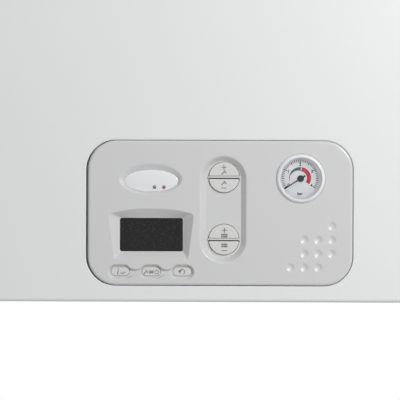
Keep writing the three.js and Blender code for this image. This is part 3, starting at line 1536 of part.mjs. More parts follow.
const pieces = [
  ['wall_bracket', wallBracket(), galvanised],
  ['rear_frame', rearFrame(), galvanised],
  ['side_panel_left', sidePanel(-1), casingPaint],
  ['side_panel_right', sidePanel(1), casingPaint],
  ['top_plate', topPlate(), casingPaint],
  ['base_tray', baseTray(), galvanised],
  ['front_cover', frontCover(), casingPaint],
  ['cover_seal', coverSeal(), rubber],
  ['control_fascia', controlFascia(), fasciaPlastic],
  ['control_box', controlBox(), greyPlastic],
  ['circuit_board', circuitBoard(), boardGreen],
  ['display_window', displayWindow(), darkWindow],
  ['badge_plate', badgePlate(), glossWhite],
  ['lamp_green', lamp(lampPlaces.lamp_green), greenLamp],
  ['lamp_red', lamp(lampPlaces.lamp_red), redLamp],
  ...Object.entries(roundKeys).map(([name, [z, side]]) => [name, roundKey(z, side), keyPlastic]),
  ...Object.entries(smallKeyPlaces).map(([name, place]) => [name, smallKey(place), keyPlastic]),
  ['gauge_bezel', gaugeBezel(), glossWhite],
  ['gauge_lens', gaugeLens(), lensGlass],
  ['gauge_dial', gaugeDial(), dialFace],
  ['gauge_needle', gaugeNeedle(), needleBlack],
  ['gauge_body', gaugeBody(), blackPlastic],
  ['flue_adapter', flueAdapter(), whitePlastic],
  ['flue_gasket', flueGasket(), rubber],
  ['flue_duct', flueDuct(), whitePlastic],
  ['heat_exchanger', heatExchanger(), stainless],
  ['burner_door', burnerDoor(), castAluminium],
  ['ignition_electrode', ignitionElectrode(), ceramic],
  ['fan_housing', fanHousing(), castAluminium],
  ['fan_impeller', fanImpeller(), castAluminium],
  ['fan_motor', fanMotor(), blackPlastic],
  ['gas_air_mixer', gasAirMixer(), castAluminium],
  ['air_intake_silencer', airIntakeSilencer(), greyPlastic],
  ['gas_valve', gasValve(), castAluminium],
  ['gas_pipe', gasPipe(), stainless],
  ['expansion_vessel', expansionVessel(), vesselRed],
  ['vessel_pipe', vesselPipe(), copper],
  ...Object.entries(stubPlaces).map(([name, place]) => [name, connectionStub(place), brass]),
  ['flow_manifold', flowManifold(), blackPlastic],
  ['return_manifold', returnManifold(), blackPlastic],
  ['plate_heat_exchanger', plateHeatExchanger(), stainless],
  ['pump_body', pumpBody(), blackPlastic],
  ['pump_motor', pumpMotor(), castAluminium],
  ['diverter_motor', diverterMotor(), whitePlastic],
  ['flow_pipe', flowPipe(), copper],
  ['return_pipe', returnPipe(), copper],
  ['condensate_trap', condensateTrap(), whitePlastic],
  ['safety_valve', safetyValve(), brass],
  ['safety_valve_knob', lobedKnob(reliefX, blockY, reliefEnd, reliefKnobRadius), redPlastic],
  ['filling_tap', fillingTap(), brass],
  ['filling_tap_knob', lobedKnob(fillX, fillY, fillEnd, fillKnobRadius), bluePlastic],
];

for (const [name, shape, material] of pieces) {
  const mesh = new THREE.Mesh(geometryOf(shape), material());
  mesh.name = name;
  boiler.add(mesh);
}

export default boiler;
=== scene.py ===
"""Wall-hung gas boiler: the fine surfaces, finishes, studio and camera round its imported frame."""

import json
import math

import bmesh
import bpy
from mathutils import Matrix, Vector


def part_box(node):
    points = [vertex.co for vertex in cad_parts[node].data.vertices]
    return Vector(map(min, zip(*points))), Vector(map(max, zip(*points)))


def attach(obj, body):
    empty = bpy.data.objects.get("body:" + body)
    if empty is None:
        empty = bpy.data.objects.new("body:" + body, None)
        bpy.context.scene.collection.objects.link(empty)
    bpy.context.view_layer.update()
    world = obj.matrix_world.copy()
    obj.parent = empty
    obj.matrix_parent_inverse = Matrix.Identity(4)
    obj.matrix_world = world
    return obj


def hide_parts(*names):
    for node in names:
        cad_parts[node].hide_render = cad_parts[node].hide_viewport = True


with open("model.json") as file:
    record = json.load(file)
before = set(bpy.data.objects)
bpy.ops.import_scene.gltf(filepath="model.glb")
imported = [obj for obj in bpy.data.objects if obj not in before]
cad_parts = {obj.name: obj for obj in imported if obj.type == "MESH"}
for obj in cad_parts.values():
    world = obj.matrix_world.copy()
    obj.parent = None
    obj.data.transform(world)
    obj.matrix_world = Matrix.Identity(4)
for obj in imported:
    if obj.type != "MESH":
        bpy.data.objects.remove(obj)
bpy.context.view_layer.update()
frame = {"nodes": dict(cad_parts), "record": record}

bl_info = {
    "name": "Gas Boiler",
    "version": (1, 0, 0),
    "blender": (4, 5, 0),
    "location": "3D View > Sidebar > Boiler",
    "description": "Dresses the frame of a wall-hung gas boiler with its fine surfaces and finishes",
    "category": "Object",
}

MM = 0.001
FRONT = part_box("front_cover")[0].y
PANEL_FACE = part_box("control_fascia")[0].y


# Finishes

class Wire:
    """A number or colour inside a node tree, with sums that add their Math nodes."""

    def __init__(self, nodes, socket):
        self.nodes, self.socket = nodes, socket

    def __add__(self, other):
        return self.nodes.node("ShaderNodeMath", {"operation": "ADD"}, [self, other])

    def __mul__(self, other):
        return self.nodes.node("ShaderNodeMath", {"operation": "MULTIPLY"}, [self, other])


class Nodes:
    """The node tree of a material or world."""

    def __init__(self, owner):
        owner.use_nodes = True
        self.tree = owner.node_tree

    def feed(self, socket, value):
        """Gives a socket a value or a wire."""
        if isinstance(value, Wire):
            self.tree.links.new(value.socket, socket)
        else:
            socket.default_value = value

    def node(self, kind, settings, values, output=0):
        """Adds a node, sets it, fills its sockets with values or wires and gives one of its outputs."""
        made = self.tree.nodes.new(kind)
        for setting, value in settings.items():
            setattr(made, setting, value)
        for socket, value in values.items() if isinstance(values, dict) else enumerate(values):
            self.feed(made.inputs[socket], value)
        return Wire(self, made.outputs[output])

    def ray(self, kind):
        return self.node("ShaderNodeLightPath", {}, {}, f"Is {kind} Ray")


class Finish(Nodes):
    """One material: its nodes, and what they feed in the shader."""

    def __init__(self, name, **constants):
        self.material = bpy.data.materials.new(name)
        super().__init__(self.material)
        self.place = self.node("ShaderNodeTexCoord", {}, {}, "Object")
        for socket, value in constants.items():
            self.set(socket.replace("_", " "), value)

    def set(self, socket, value):
        self.feed(self.tree.nodes["Principled BSDF"].inputs[socket], value)

    def stretched(self, scale):
        return self.node("ShaderNodeMapping", {}, {"Vector": self.place, "Scale": scale})

    def noise(self, scale, detail=3.0, place=None):
        return self.node("ShaderNodeTexNoise", {}, {
            "Vector": place or self.place, "Scale": scale, "Detail": detail, "Roughness": 0.6})

    def cells(self, scale, output="Color"):
        return self.node("ShaderNodeTexVoronoi", {}, {"Vector": self.place, "Scale": scale}, output)

    def ramp(self, value, start, end):
        """Black up to the start, and white from the end."""
        wire = self.node("ShaderNodeValToRGB", {}, {"Fac": value})
        stops = wire.socket.node.color_ramp.elements
        stops[0].position, stops[1].position = start, end
        return wire

    def mixed(self, share, first, second):
        return self.node("ShaderNodeMix", {"data_type": "RGBA"}, {0: share, 6: first, 7: second}, 2)

    def tinted(self, share, colour, darker, lighter):
        """The colour, darker where the share is 0 and lighter where it is 1."""
        low, high = [(*[min(1.0, part * (1 + by)) for part in colour[:3]], 1) for by in (-darker, lighter)]
        return self.mixed(share, low, high)

    def finished(self, tone, roughness, height, depth):
        """Sets colour, gloss and relief, its depth in micrometres, and gives the material."""
        self.set("Base Color", tone)
        self.set("Roughness", roughness)
        self.set("Normal", self.node(
            "ShaderNodeBump", {}, {"Height": height, "Distance": depth * 1e-6, "Strength": 1.0}, "Normal"))
        return self.material


def plain(name, colour, roughness, grain, depth, spread=0.03, **constants):
    """A moulded, painted or printed surface: fine grain, a slow drift of tone and uneven gloss."""
    finish = Finish(name, **constants)
    fine, slow = finish.noise(grain), finish.noise(9.0, 2.0)
    tone = finish.tinted(fine * 0.4 + slow * 0.6, colour, spread, spread)
    return finish.finished(tone, fine * 0.12 + (roughness - 0.06), fine, depth)


def enamel(name, colour):
    """Stove enamel on sheet steel: a very fine orange peel under a soft gloss."""
    finish = Finish(name, Coat_Weight=0.25, Coat_Roughness=0.18, Specular_IOR_Level=0.45)
    peel, slow = finish.noise(520.0, 2.0), finish.noise(5.0, 2.0)
    return finish.finished(finish.tinted(slow, colour, 0.012, 0.012), slow * 0.06 + 0.36, peel, 40)


def zinc_sheet(name, colour):
    """Galvanised sheet: large crystals that turn their gloss, dulled by a fine haze."""
    finish = Finish(name, Metallic=0.9)
    crystal, haze = finish.cells(55.0), finish.noise(240.0)
    tone = finish.tinted(crystal, colour, 0.12, 0.08)
    return finish.finished(tone, crystal * 0.16 + haze * 0.12 + 0.34, haze, 30)


def drawn_metal(name, colour, stretch, roughness, spread=0.08):
    """Rolled, drawn or turned metal: fine lines across one direction and a slow tarnish."""
    finish = Finish(name, Metallic=1.0)
    lines, slow = finish.noise(120.0, 4.0, finish.stretched(stretch)), finish.noise(14.0, 3.0)
    tone = finish.tinted(slow * 0.7 + lines * 0.3, colour, spread, spread)
    return finish.finished(tone, lines * 0.16 + (roughness - 0.08), lines, 20)


def cast_metal(name, colour):
    """Die-cast aluminium: a pebbled skin with darker hollows."""
    finish = Finish(name, Metallic=0.85)
    skin, slow = finish.noise(420.0, 5.0), finish.noise(22.0)
    pits = finish.ramp(finish.noise(900.0, 2.0), 0.42, 0.55)
    tone = finish.tinted(skin * 0.4 + slow * 0.3 + pits * 0.3, colour, 0.22, 0.06)
    return finish.finished(tone, skin * 0.2 + 0.42, skin, 120)


def foam_rubber(name, colour):
    """Black sealing foam: matt, with open pores."""
    finish = Finish(name)
    pores, slow = finish.cells(1400.0, "Distance"), finish.noise(60.0)
    tone = finish.tinted(pores * 0.6 + slow * 0.4, colour, 0.35, 0.3)
    return finish.finished(tone, pores * 0.1 + 0.82, pores, 200)


def smoked_window(name, colour):
    """Smoked display window: dark, with fine pale flecks and a faint gloss."""
    finish = Finish(name, Coat_Weight=0.05, Coat_Roughness=0.2, Specular_IOR_Level=0.2)
    speckle = finish.noise(900.0, 2.0)
    tone = finish.tinted(finish.ramp(speckle, 0.56, 0.74), colour, 0.15, 3.2)
    return finish.finished(tone, speckle * 0.2 + 0.3, speckle, 10)


def circuit_lacquer(name, colour):
    """Solder lacquer over copper tracks."""
    finish = Finish(name, Coat_Weight=0.3)
    tracks = finish.ramp(finish.noise(1.0, 1.0, finish.stretched((260.0, 1.0, 110.0))), 0.52, 0.55)
    grain = finish.noise(700.0)
    tone = finish.tinted(tracks * 0.8 + grain * 0.2, colour, 0.1, 0.7)
    return finish.finished(tone, grain * 0.1 + 0.34, tracks, 40)


def clear_lens(name):
    """The gauge's clear window: thin glass that lets light through to the dial."""
    finish = Finish(name, IOR=1.15, Transmission_Weight=1.0)
    haze = finish.noise(300.0)
    finish.set("Base Color", finish.mixed(haze, (0.97, 0.98, 0.99, 1), (1, 1, 1, 1)))
    finish.set("Roughness", haze * 0.02)
    return finish.material


def lamp_lens(name, colour):
    """A small clear coloured lens, lit from behind."""
    finish = Finish(name, Coat_Weight=0.6, Coat_Roughness=0.08, Emission_Strength=0.25)
    core = finish.noise(900.0, 1.0)
    glow = finish.tinted(core, colour, 0.1, 0.15)
    finish.set("Base Color", glow)
    finish.set("Emission Color", glow)
    finish.set("Roughness", core * 0.1 + 0.12)
    return finish.material


# Colour, roughness, grain, depth of the grain in micrometres, and spread of tone
PLAIN = {
    "dial_face": ((0.665, 0.672, 0.70), 0.5, 1200.0, 5, 0.015),
    "needle_black": ((0.012, 0.012, 0.013), 0.22, 1800.0, 4, 0.2),
    "grey_plastic": ((0.155, 0.165, 0.178), 0.55, 1100.0, 50, 0.08),
    "black_plastic": ((0.026, 0.027, 0.03), 0.5, 1000.0, 60, 0.2),
    "blue_plastic": ((0.02, 0.09, 0.33), 0.42, 900.0, 30, 0.08),
    "red_plastic": ((0.42, 0.025, 0.017), 0.42, 900.0, 30, 0.08),
    "white_plastic": ((0.78, 0.78, 0.75), 0.42, 1000.0, 30, 0.03),
}
INKS = {
    "grey_ink": (0.235, 0.238, 0.242), "black_ink": (0.016, 0.016, 0.018), "green_ink": (0.045, 0.115, 0.10),
    "red_ink": (0.42, 0.012, 0.035),
}
MATERIALS = {}


def make_finishes(settings):
    """One material for each of the record's material slots, and for the inks and the zinc of screws."""
    return {
        **{slot: plain(slot.replace("plastic", "moulding"), *row) for slot, row in PLAIN.items()},
        **{name: plain(name, colour, 0.6, 2600.0, 4, 0.06) for name, colour in INKS.items()},
        "fascia_plastic": plain(
            "panel_plastic", settings.panel_colour, 0.31, 1500.0, 10, 0.02, Specular_IOR_Level=0.5),
        "key_plastic": plain("key_plastic", settings.key_colour, 0.5, 1700.0, 20, 0.02),
        "gloss_white": plain("gloss_white", (0.795, 0.80, 0.82), 0.14, 300.0, 4, 0.01, Coat_Weight=0.4),
        "ceramic": plain("glazed_ceramic", (0.80, 0.76, 0.68), 0.16, 200.0, 10, 0.04, Coat_Weight=0.5),
        "casing_paint": enamel("casing_enamel", settings.casing_colour),
        "vessel_red": enamel("vessel_enamel", (0.38, 0.03, 0.022)),
        "galvanised": zinc_sheet("zinc_sheet", (0.52, 0.55, 0.57)),
        "dark_window": smoked_window("smoked_window", (0.0098, 0.0088, 0.0093)),
        "green_lamp": lamp_lens("green_lens", (0.05, 0.15, 0.12)),
        "red_lamp": lamp_lens("red_lens", (0.30, 0.03, 0.09)),
        "board_green": circuit_lacquer("circuit_lacquer", (0.012, 0.09, 0.04)),
        "seal_rubber": foam_rubber("foam_rubber", (0.022, 0.023, 0.026)),
        "cast_aluminium": cast_metal("cast_aluminium", (0.46, 0.48, 0.50)),
        "stainless": drawn_metal("stainless_steel", (0.60, 0.61, 0.62), (1.0, 14.0, 1.0), 0.28),
        "brass": drawn_metal("turned_brass", (0.60, 0.42, 0.16), (1.0, 1.0, 18.0), 0.28),
        "copper": drawn_metal("drawn_copper", (0.64, 0.29, 0.15), (4.0, 4.0, 0.6), 0.3, 0.2),
        "bright_zinc": drawn_metal("bright_zinc", (0.62, 0.64, 0.66), (6.0, 6.0, 6.0), 0.3),
        "glass": clear_lens("clear_lens"),
    }


# Modelling steps

def to_mode(mode):
    if bpy.context.object and bpy.context.object.mode != mode:
        bpy.ops.object.mode_set(mode=mode)


def deselect():
    to_mode("OBJECT")
    bpy.ops.object.select_all(action="DESELECT")


def pick(piece):
    deselect()
    piece.select_set(True)
    bpy.context.view_layer.objects.active = piece


def edit(piece, kind="FACE", action="SELECT"):
    """Opens the piece in edit mode, with everything selected or nothing."""
    pick(piece)
    to_mode("EDIT")
    bpy.ops.mesh.select_mode(type=kind)
    bpy.ops.mesh.select_all(action=action)


def done(piece):
    """Leaves edit mode and puts the piece's place into its mesh."""
    pick(piece)
    bpy.ops.object.transform_apply(location=True, rotation=True, scale=True)
    return piece


def placed(name, data):
    """A new object with this mesh or curve, in the scene."""
    piece = bpy.data.objects.new(name, data)
    bpy.context.scene.collection.objects.link(piece)
    return piece


def named(name):
    piece = bpy.context.object
    piece.name = name
    piece.data.name = name
    return piece


QUARTER = math.pi / 2
FACING = {
    "-y": (QUARTER, 0, 0), "+y": (-QUARTER, 0, 0), "-z": (math.pi, 0, 0), "+z": (0, 0, 0),
    "+x": (0, QUARTER, 0),
}
AXES = {
    "-y": Vector((0, -1, 0)), "+y": Vector((0, 1, 0)), "-z": Vector((0, 0, -1)), "+z": Vector((0, 0, 1)),
    "+x": Vector((1, 0, 0)),
}


def quarter(count, first=0):
    """Turns from a first step up to a quarter circle."""
    return [QUARTER * step / count for step in range(first, count + 1)]


def plate(name, centre, width, height, facing="-y", radius=0.0, segments=8):
    """A flat four-cornered face, with rounded corners where a radius is given."""
    deselect()
    bpy.ops.mesh.primitive_plane_add(size=1, location=centre, rotation=FACING[facing])
    piece = named(name)
    piece.scale = (width, height, 1)
    done(piece)
    if radius:
        edit(piece, "VERT")
        bpy.ops.mesh.bevel(affect="VERTICES", offset=radius, segments=segments, profile=0.5)
        bpy.ops.mesh.select_all(action="SELECT")
        bpy.ops.mesh.remove_doubles(threshold=0.00001)
        done(piece)
    return piece


def extrude(move):
    """Pulls the selected face along a vector, and leaves the new face selected."""
    bpy.ops.mesh.extrude_region_move(TRANSFORM_OT_translate={"value": move})


def outwards(piece):
    """Turns every face to the outside, and leaves edit mode."""
    bpy.ops.mesh.select_all(action="SELECT")
    bpy.ops.mesh.remove_doubles(threshold=0.000005)
    bpy.ops.mesh.normals_make_consistent(inside=False)
    return done(piece)


def prism(face, move):
    """A straight cutter or bar from a flat face."""
    edit(face)
    extrude(move)
    return outwards(face)


def slope(width, depth, lip, fillet, arcs=6):
    """Steps of a pressed side: a rounded lip, a straight slope and a rounded foot."""
    both = lip + fillet
    low, high = 0.0, QUARTER - 0.001
    for _ in range(60):
        angle = (low + high) / 2
        reach = both * (1 - math.cos(angle)) + (width - both * math.sin(angle)) * math.tan(angle)
        low, high = (angle, high) if reach < depth else (low, angle)
    turns = [angle * step / arcs for step in range(1, arcs + 1)]
    places = [(0.0, 0.0)] + [(lip * math.sin(turn), lip * (1 - math.cos(turn))) for turn in turns]
    places += [
        (width - fillet * math.sin(turn), depth - fillet * (1 - math.cos(turn)))
        for turn in [*reversed(turns), 0.0]]
    return places


def modify(piece, kind, **settings):
    """Adds a modifier, sets it and applies it."""
    pick(piece)
    bpy.ops.object.modifier_add(type=kind)
    modifier = piece.modifiers[-1]
    for setting, value in settings.items():
        setattr(modifier, setting, value)
    bpy.ops.object.modifier_apply(modifier=modifier.name)
    return piece


def combine(operation, piece, *others):
    """Cuts the other pieces out of this one, or melts them into it, and removes them."""
    for other in others:
        modify(piece, "BOOLEAN", operation=operation, solver="EXACT", object=other)
        bpy.data.objects.remove(other)
    return piece


def without(piece, *cutters):
    return combine("DIFFERENCE", piece, *cutters)


def joined(name, pieces):
    """Joins pieces into one object."""
    deselect()
    for piece in pieces:
        piece.select_set(True)
    bpy.context.view_layer.objects.active = pieces[0]
    if len(pieces) > 1:
        bpy.ops.object.join()
    return named(name)


def soft(piece, radius, segments=2, angle=35):
    """Rounds the hard edges by a radius in millimetres."""
    return modify(
        piece, "BEVEL", width=radius * MM, segments=segments, limit_method="ANGLE",
        angle_limit=math.radians(angle), use_clamp_overlap=True)


def dress(piece, slot, body, *nodes, finish=None, angle=None):
    """Shades the piece, gives it its finish and its body, and hides the CAD nodes that it stands for."""
    if angle:
        pick(piece)
        bpy.ops.object.shade_smooth_by_angle(angle=math.radians(angle))
        modify(piece, "WEIGHTED_NORMAL", mode="FACE_AREA", keep_sharp=True)
    piece.data.materials.clear()
    piece.data.materials.append(MATERIALS[finish or slot])
    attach(piece, body)
    if nodes:
        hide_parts(*nodes)
    return piece


def turned(name, place, profile, facing="-y", sides=64):
    """A turned piece: a ring pulled along its profile of (radius, reach) in millimetres.

    A profile that ends where it starts makes a hollow ring, and any other a solid.
    """
    hollow = profile[0] == profile[-1]
    axis = AXES[facing]
    place = Vector(place)
    deselect()
    bpy.ops.mesh.primitive_circle_add(
        vertices=sides, radius=profile[0][0] * MM, fill_type="NOTHING" if hollow else "NGON",
        location=place + axis * profile[0][1] * MM, rotation=FACING[facing])
    piece = done(named(name))
    edit(piece, "EDGE" if hollow else "FACE")
    for (before, start), (radius, end) in zip(profile, profile[1:]):
        move = axis * (end - start) * MM
        if hollow:
            bpy.ops.mesh.extrude_edges_move(TRANSFORM_OT_translate={"value": move})
        else:
            extrude(move)
        bpy.ops.transform.resize(
            value=[1 if along else radius / before for along in axis], center_override=place)
    return outwards(piece)


def solid_of(name, stacks, closed=False):
    """Closed solids through stacks of outlines, each stack capped or joined into a hoop."""
    mesh = bmesh.new()
    for stack in stacks:
        rings = [[mesh.verts.new(point) for point in ring] for ring in stack]
        pairs = list(zip(rings, rings[1:]))
        if closed:
            pairs.append((rings[-1], rings[0]))
        for back, ahead in pairs:
            for place in range(len(back)):
                mesh.faces.new((back[place - 1], back[place], ahead[place], ahead[place - 1]))
        if not closed:
            mesh.faces.new(rings[0])
            mesh.faces.new(rings[-1])
    bmesh.ops.recalc_face_normals(mesh, faces=mesh.faces)
    data = bpy.data.meshes.new(name)
    mesh.to_mesh(data)
    mesh.free()
    return placed(name, data)


def mix(start, end, share):
    return start + (end - start) * share


def arc(x, z, radius, start, end, count):
    """Places along an arc, its angles in quarter turns."""
    turns = [QUARTER * mix(start, end, step / count) for step in range(count + 1)]
    return [(x + radius * math.cos(turn), z + radius * math.sin(turn)) for turn in turns]


def rounded(x, z, wide, high, radius, count=12):
    """A four-cornered outline with round corners."""
    half, rise = wide / 2 - radius, high / 2 - radius
    return [
        *arc(x + half, z + rise, radius, 0, 1, count), *arc(x - half, z + rise, radius, 1, 2, count),
        *arc(x - half, z - rise, radius, 2, 3, count), *arc(x + half, z - rise, radius, 3, 4, count),
    ]


def stadium(x, z, wide, high, count=26):
    """An upright or lying outline with half-round ends."""
    if wide <= high:
        run = (high - wide) / 2
        return [*arc(x, z + run, wide / 2, 0, 2, count), *arc(x, z - run, wide / 2, 2, 4, count)]
    run = (wide - high) / 2
    return [*arc(x + run, z, high / 2, -1, 1, count), *arc(x - run, z, high / 2, 1, 3, count)]


# Control panel. Outlines are in millimetres from the middle of the raised panel, and depths in metres.

PANEL_Z = -0.5787
CARRIER_FRONT, CARRIER_BACK = -0.2425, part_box("control_fascia")[1].y
OVER = 1.5 * MM
PILL_FLOOR = PANEL_FACE + 4.6 * MM
KEY_PITCH = 26.4
SMALL_KEY_X, SMALL_KEY_Z = -58.4, -50.3
SMALL_KEYS = {"key_info": -1, "key_mode": 0, "key_reset": 1}
ROUND_KEY_X, WATER_WEB, HEATING_WEB = 3.4, 30.1, -22.9
# The height of the web beside the key, the key's side of it, and the shift and heights of its two marks
ROUND_KEYS = {
    "key_water_plus": (WATER_WEB, 1, -0.2, 8.6, 4.2),
    "key_water_minus": (WATER_WEB, -1, -0.2, -9.1, -4.8),
    "key_heating_plus": (HEATING_WEB, 1, 0.4, 7.9, 3.3),
    "key_heating_minus": (HEATING_WEB, -1, 0.4, -9.4, -5.0),
}
WINDOW = (-58.5, -19.0)
LAMPS = {"lamp_green": (-55.8, 21.5), "lamp_red": (-47.8, 21.5)}
GAUGE = (68.5, 29.2)
DIMPLE_PITCH, DIMPLE_RADIUS = 11.75, 4.1
DIMPLES = [(3, 0), (1, 1), (2, 1), (3, 1), (1, 2), (2, 2), (3, 2), (0, 3), (1, 3), (2, 3)]


def at(x, z, y=0.0):
    """A place given in millimetres from the middle of the panel, at a depth y."""
    return (x * MM, y, PANEL_Z + z * MM)


def layered(name, layers):
    """A solid through outlines on the panel, each with its own depth."""
    return solid_of(name, [[[at(x, z, y) for x, z in outline] for outline, y in layers]])


def oval(x, z, wide, high, count):
    turns = [math.tau * step / count for step in range(count)]
    return [(x + wide * math.cos(turn), z + high * math.sin(turn)) for turn in turns]


def oval_outline(share):
    return oval(
        mix(-59.0, -58.7, share), mix(28.8, 26.8, share), mix(27.3, 22.75, share), mix(14.2, 9.25, share), 96)


def pill_outline(share):
    return stadium(2.7, 2.6, mix(40.9, 29.4, share), mix(92.4, 82.2, share))


def funnel_outline(share):
    """The display's recess: it narrows downwards and has a low arch above."""
    top, foot = mix(36.4, 27.0, share), mix(32.0, 27.0, share)
    high, low = mix(-0.1, -4.6, share), mix(-40.0, -33.4, share)
    shoulder, radius, rise = mix(3.6, 1.8, share), mix(2.6, 1.8, share), mix(3.8, 0.0, share)
    half = top - shoulder
    places = [1 - step / 13 for step in range(1, 26)]
    arch = [(half * place, high + rise * (1 - abs(place) ** 2.4)) for place in places]
    shape = [
        *arc(half, high - shoulder, shoulder, 0, 1, 5), *arch,
        *arc(-half, high - shoulder, shoulder, 1, 2, 5),
        *arc(radius - foot, low + radius, radius, 2, 3, 5),
        *arc(foot - radius, low + radius, radius, 3, 4, 5),
    ]
    return [(-58.4 + x, z) for x, z in shape]


def lobes_outline(share):
    """The small keys' recess: a lobe round each key, and narrower necks between them."""
    lobe, middle = mix(6.8, 4.4, share), mix(-0.45, 0.0, share)
    neck_top, neck_foot = mix(2.6, 0.9, share), mix(-3.6, -2.4, share)
    end, count = KEY_PITCH + mix(10.4, 8.4, share) - lobe, 72

    def edge(x, neck):
        reach = abs(x - KEY_PITCH * round(x / KEY_PITCH))
        slide = min(1.0, max(0.0, (reach - 4.2) / (11.6 - 4.2)))
        ease = slide * slide * (3 - 2 * slide)
        return mix(math.copysign(lobe, neck), neck, 0.0 if abs(x) > KEY_PITCH else ease)

    places = [end * (1 - 2 * step / count) for step in range(1, count)]
    shape = [
        *arc(end, 0, lobe, -1, 1, 12), *[(x, edge(x, neck_top)) for x in places],
        *arc(-end, 0, lobe, 1, 3, 12), *[(-x, edge(-x, neck_foot)) for x in places],
    ]
    return [(SMALL_KEY_X + x, SMALL_KEY_Z + middle + z) for x, z in shape]


def recess(outline, width, depth, lip, foot):
    """A cutter for a recess, whose sides start as a rounded lip and end in a rounded foot."""
    return layered("recess", [(outline(0), PANEL_FACE - OVER)] + [
        (outline(inwards / (width * MM)), PANEL_FACE + deep)
        for inwards, deep in slope(width * MM, depth * MM, lip, foot * MM)])


def dimple(x, z):
    """A cutter for a shallow round dent with a soft rim."""
    layers = [(DIMPLE_RADIUS, PANEL_FACE - OVER)] + [
        (mix(DIMPLE_RADIUS, 0.35, share), PANEL_FACE + 1.3 * MM * math.sin(share * QUARTER) ** 1.6)
        for share in [step / 8 for step in range(9)]]
    return layered("dent", [(arc(x, z, radius, 0, 4, 32)[:-1], y) for radius, y in layers])


def fascia_block(name):
    """The raised panel as a solid: a rounded outline pulled forward, with its front edge rounded over."""
    radius = 2.4 * MM
    face = plate(name, at(0.25, -0.28, CARRIER_BACK), 225.3 * MM, 123.3 * MM, "-y", 24.7 * MM, 16)
    edit(face)
    extrude((0, PANEL_FACE + radius - CARRIER_BACK, 0))
    turns = quarter(7)
    for start, end in zip(turns, turns[1:]):
        inwards, along = math.cos(start) - math.cos(end), math.sin(end) - math.sin(start)
        bpy.ops.mesh.inset(thickness=radius * inwards, depth=radius * along, use_even_offset=True)
    return outwards(face)


def half_round(z, side, radius, web, fillet=0.7):
    """Half of a round key: a disc cut straight beside the web, its two ends rounded."""
    reach = math.sqrt((radius - fillet) ** 2 - (web + fillet) ** 2)
    turn = math.atan2(web + fillet, reach) / QUARTER
    shape = [
        *arc(reach, web + fillet, fillet, -1, turn, 6), *arc(0, 0, radius, turn, 2 - turn, 60)[1:-1],
        *arc(-reach, web + fillet, fillet, 2 - turn, 3, 6),
    ]
    return [(ROUND_KEY_X + x, z + side * rise) for x, rise in shape]


class BOILER_OT_fascia(bpy.types.Operator):
    """Moulded control panel with its recesses, key openings and dimples"""
    bl_idname = "boiler.fascia"
    bl_label = "Control panel"

    def execute(self, context):
        lip = context.scene.boiler.recess_lip
        front = PANEL_FACE - OVER
        through = CARRIER_BACK + OVER - front
        panel = fascia_block("panel_face")
        carrier = plate("carrier", (0, CARRIER_BACK, -0.578), 0.366, 0.136, "-y", 0.0048, 5)
        combine("UNION", panel, prism(carrier, (0, CARRIER_FRONT - CARRIER_BACK, 0)))
        lobes = layered("lobes", [(lobes_outline(share), PANEL_FACE + deep * MM) for share, deep in (
            (0, -1.5), (0, 0), (0.08, 0.07), (0.18, 0.28), (0.3, 0.66), (0.45, 1.2), (0.65, 1.9), (0.8, 2.35),
            (0.9, 2.6), (1, 2.7))])
        without(panel, joined("recesses", [
            recess(oval_outline, 4.15, 3.0, lip * 1.7, 0.3), recess(pill_outline, 5.75, 4.6, lip * 1.5, 1.2),
            recess(funnel_outline, 7.5, 6.0, lip * 0.7, 0.3), lobes]))
        openings = [
            half_round(z, side, 13.35, 1.0 if side > 0 else 0.6) for z, side, *_ in ROUND_KEYS.values()]
        for place in SMALL_KEYS.values():
            openings.append(stadium(SMALL_KEY_X + place * KEY_PITCH, SMALL_KEY_Z, 16.4, 8.1, 14))
        openings.append(rounded(*WINDOW, 53.8, 28.6, 1.8, 6))
        holes = [layered("hole", [(outline, front), (outline, front + through)]) for outline in openings]
        holes += [
            turned("hole", at(*place, front), [(radius, 0), (radius, through / MM)], "+y", sides)
            for place, radius, sides in ((GAUGE, 19.6, 96), *[(place, 1.55, 24) for place in LAMPS.values()])]
        holes.append(turned("gauge_groove", at(*GAUGE, PANEL_FACE), [
            (20.0, 1), (21.15, 1), (21.15, -0.7), (20.0, -0.7), (20.0, 1)], sides=128))
        holes.append(layered("badge_seat", [
            (oval_outline(1), PANEL_FACE + 2.5 * MM), (oval_outline(1), -246.8 * MM)]))
        without(panel, joined("holes", holes))
        without(panel, joined("dents", [
            dimple(60 + DIMPLE_PITCH * column, -11.1 - DIMPLE_PITCH * row) for column, row in DIMPLES]))
        webs = [layered("web", [
            (rounded(ROUND_KEY_X, z + 0.2, wide, wide - 25.3, 0.2, 3), PILL_FLOOR + deep * MM)
            for wide, deep in ((26.9, 1.5), (26.9, -1.3), (26.6, -1.5))]) for z in (WATER_WEB, HEATING_WEB)]
        dress(joined("panel_face", [panel, *webs]), "fascia_plastic", "casing", "control_fascia", angle=40)
        return {"FINISHED"}


# Keys, badge, lamps and window

def capped(node, outline_of, edge, dome):
    """A key's cap over a frame piece: straight sides, a rounded edge and a slightly domed face."""
    low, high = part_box(node)
    layers = [(outline_of(0), high.y), (outline_of(0), low.y + edge * MM)]
    layers += [
        (outline_of(edge * (1 - math.cos(turn))), low.y + edge * (1 - math.sin(turn)) * MM)
        for turn in quarter(4, 1)]
    layers += [
        (outline_of(edge + 2.2 * step / 8), low.y - dome * MM * math.sin(step / 8 * QUARTER))
        for step in range(1, 8)]
    dress(layered(node + "_face", layers), "key_plastic", node + "_cap", node, angle=30)
    return low.y


def stamped(name, outlines, face):
    """Thin printed marks that stand a hair proud of the face under them."""
    front = face - 0.04 * MM
    return solid_of(name, [
        [[at(x, z, y) for x, z in outline] for y in (front + 0.05 * MM, front)] for outline in outlines])


def print_key(node, outlines, face):
    dress(stamped(node + "_print", outlines, face), "grey_plastic", node + "_cap", finish="grey_ink")


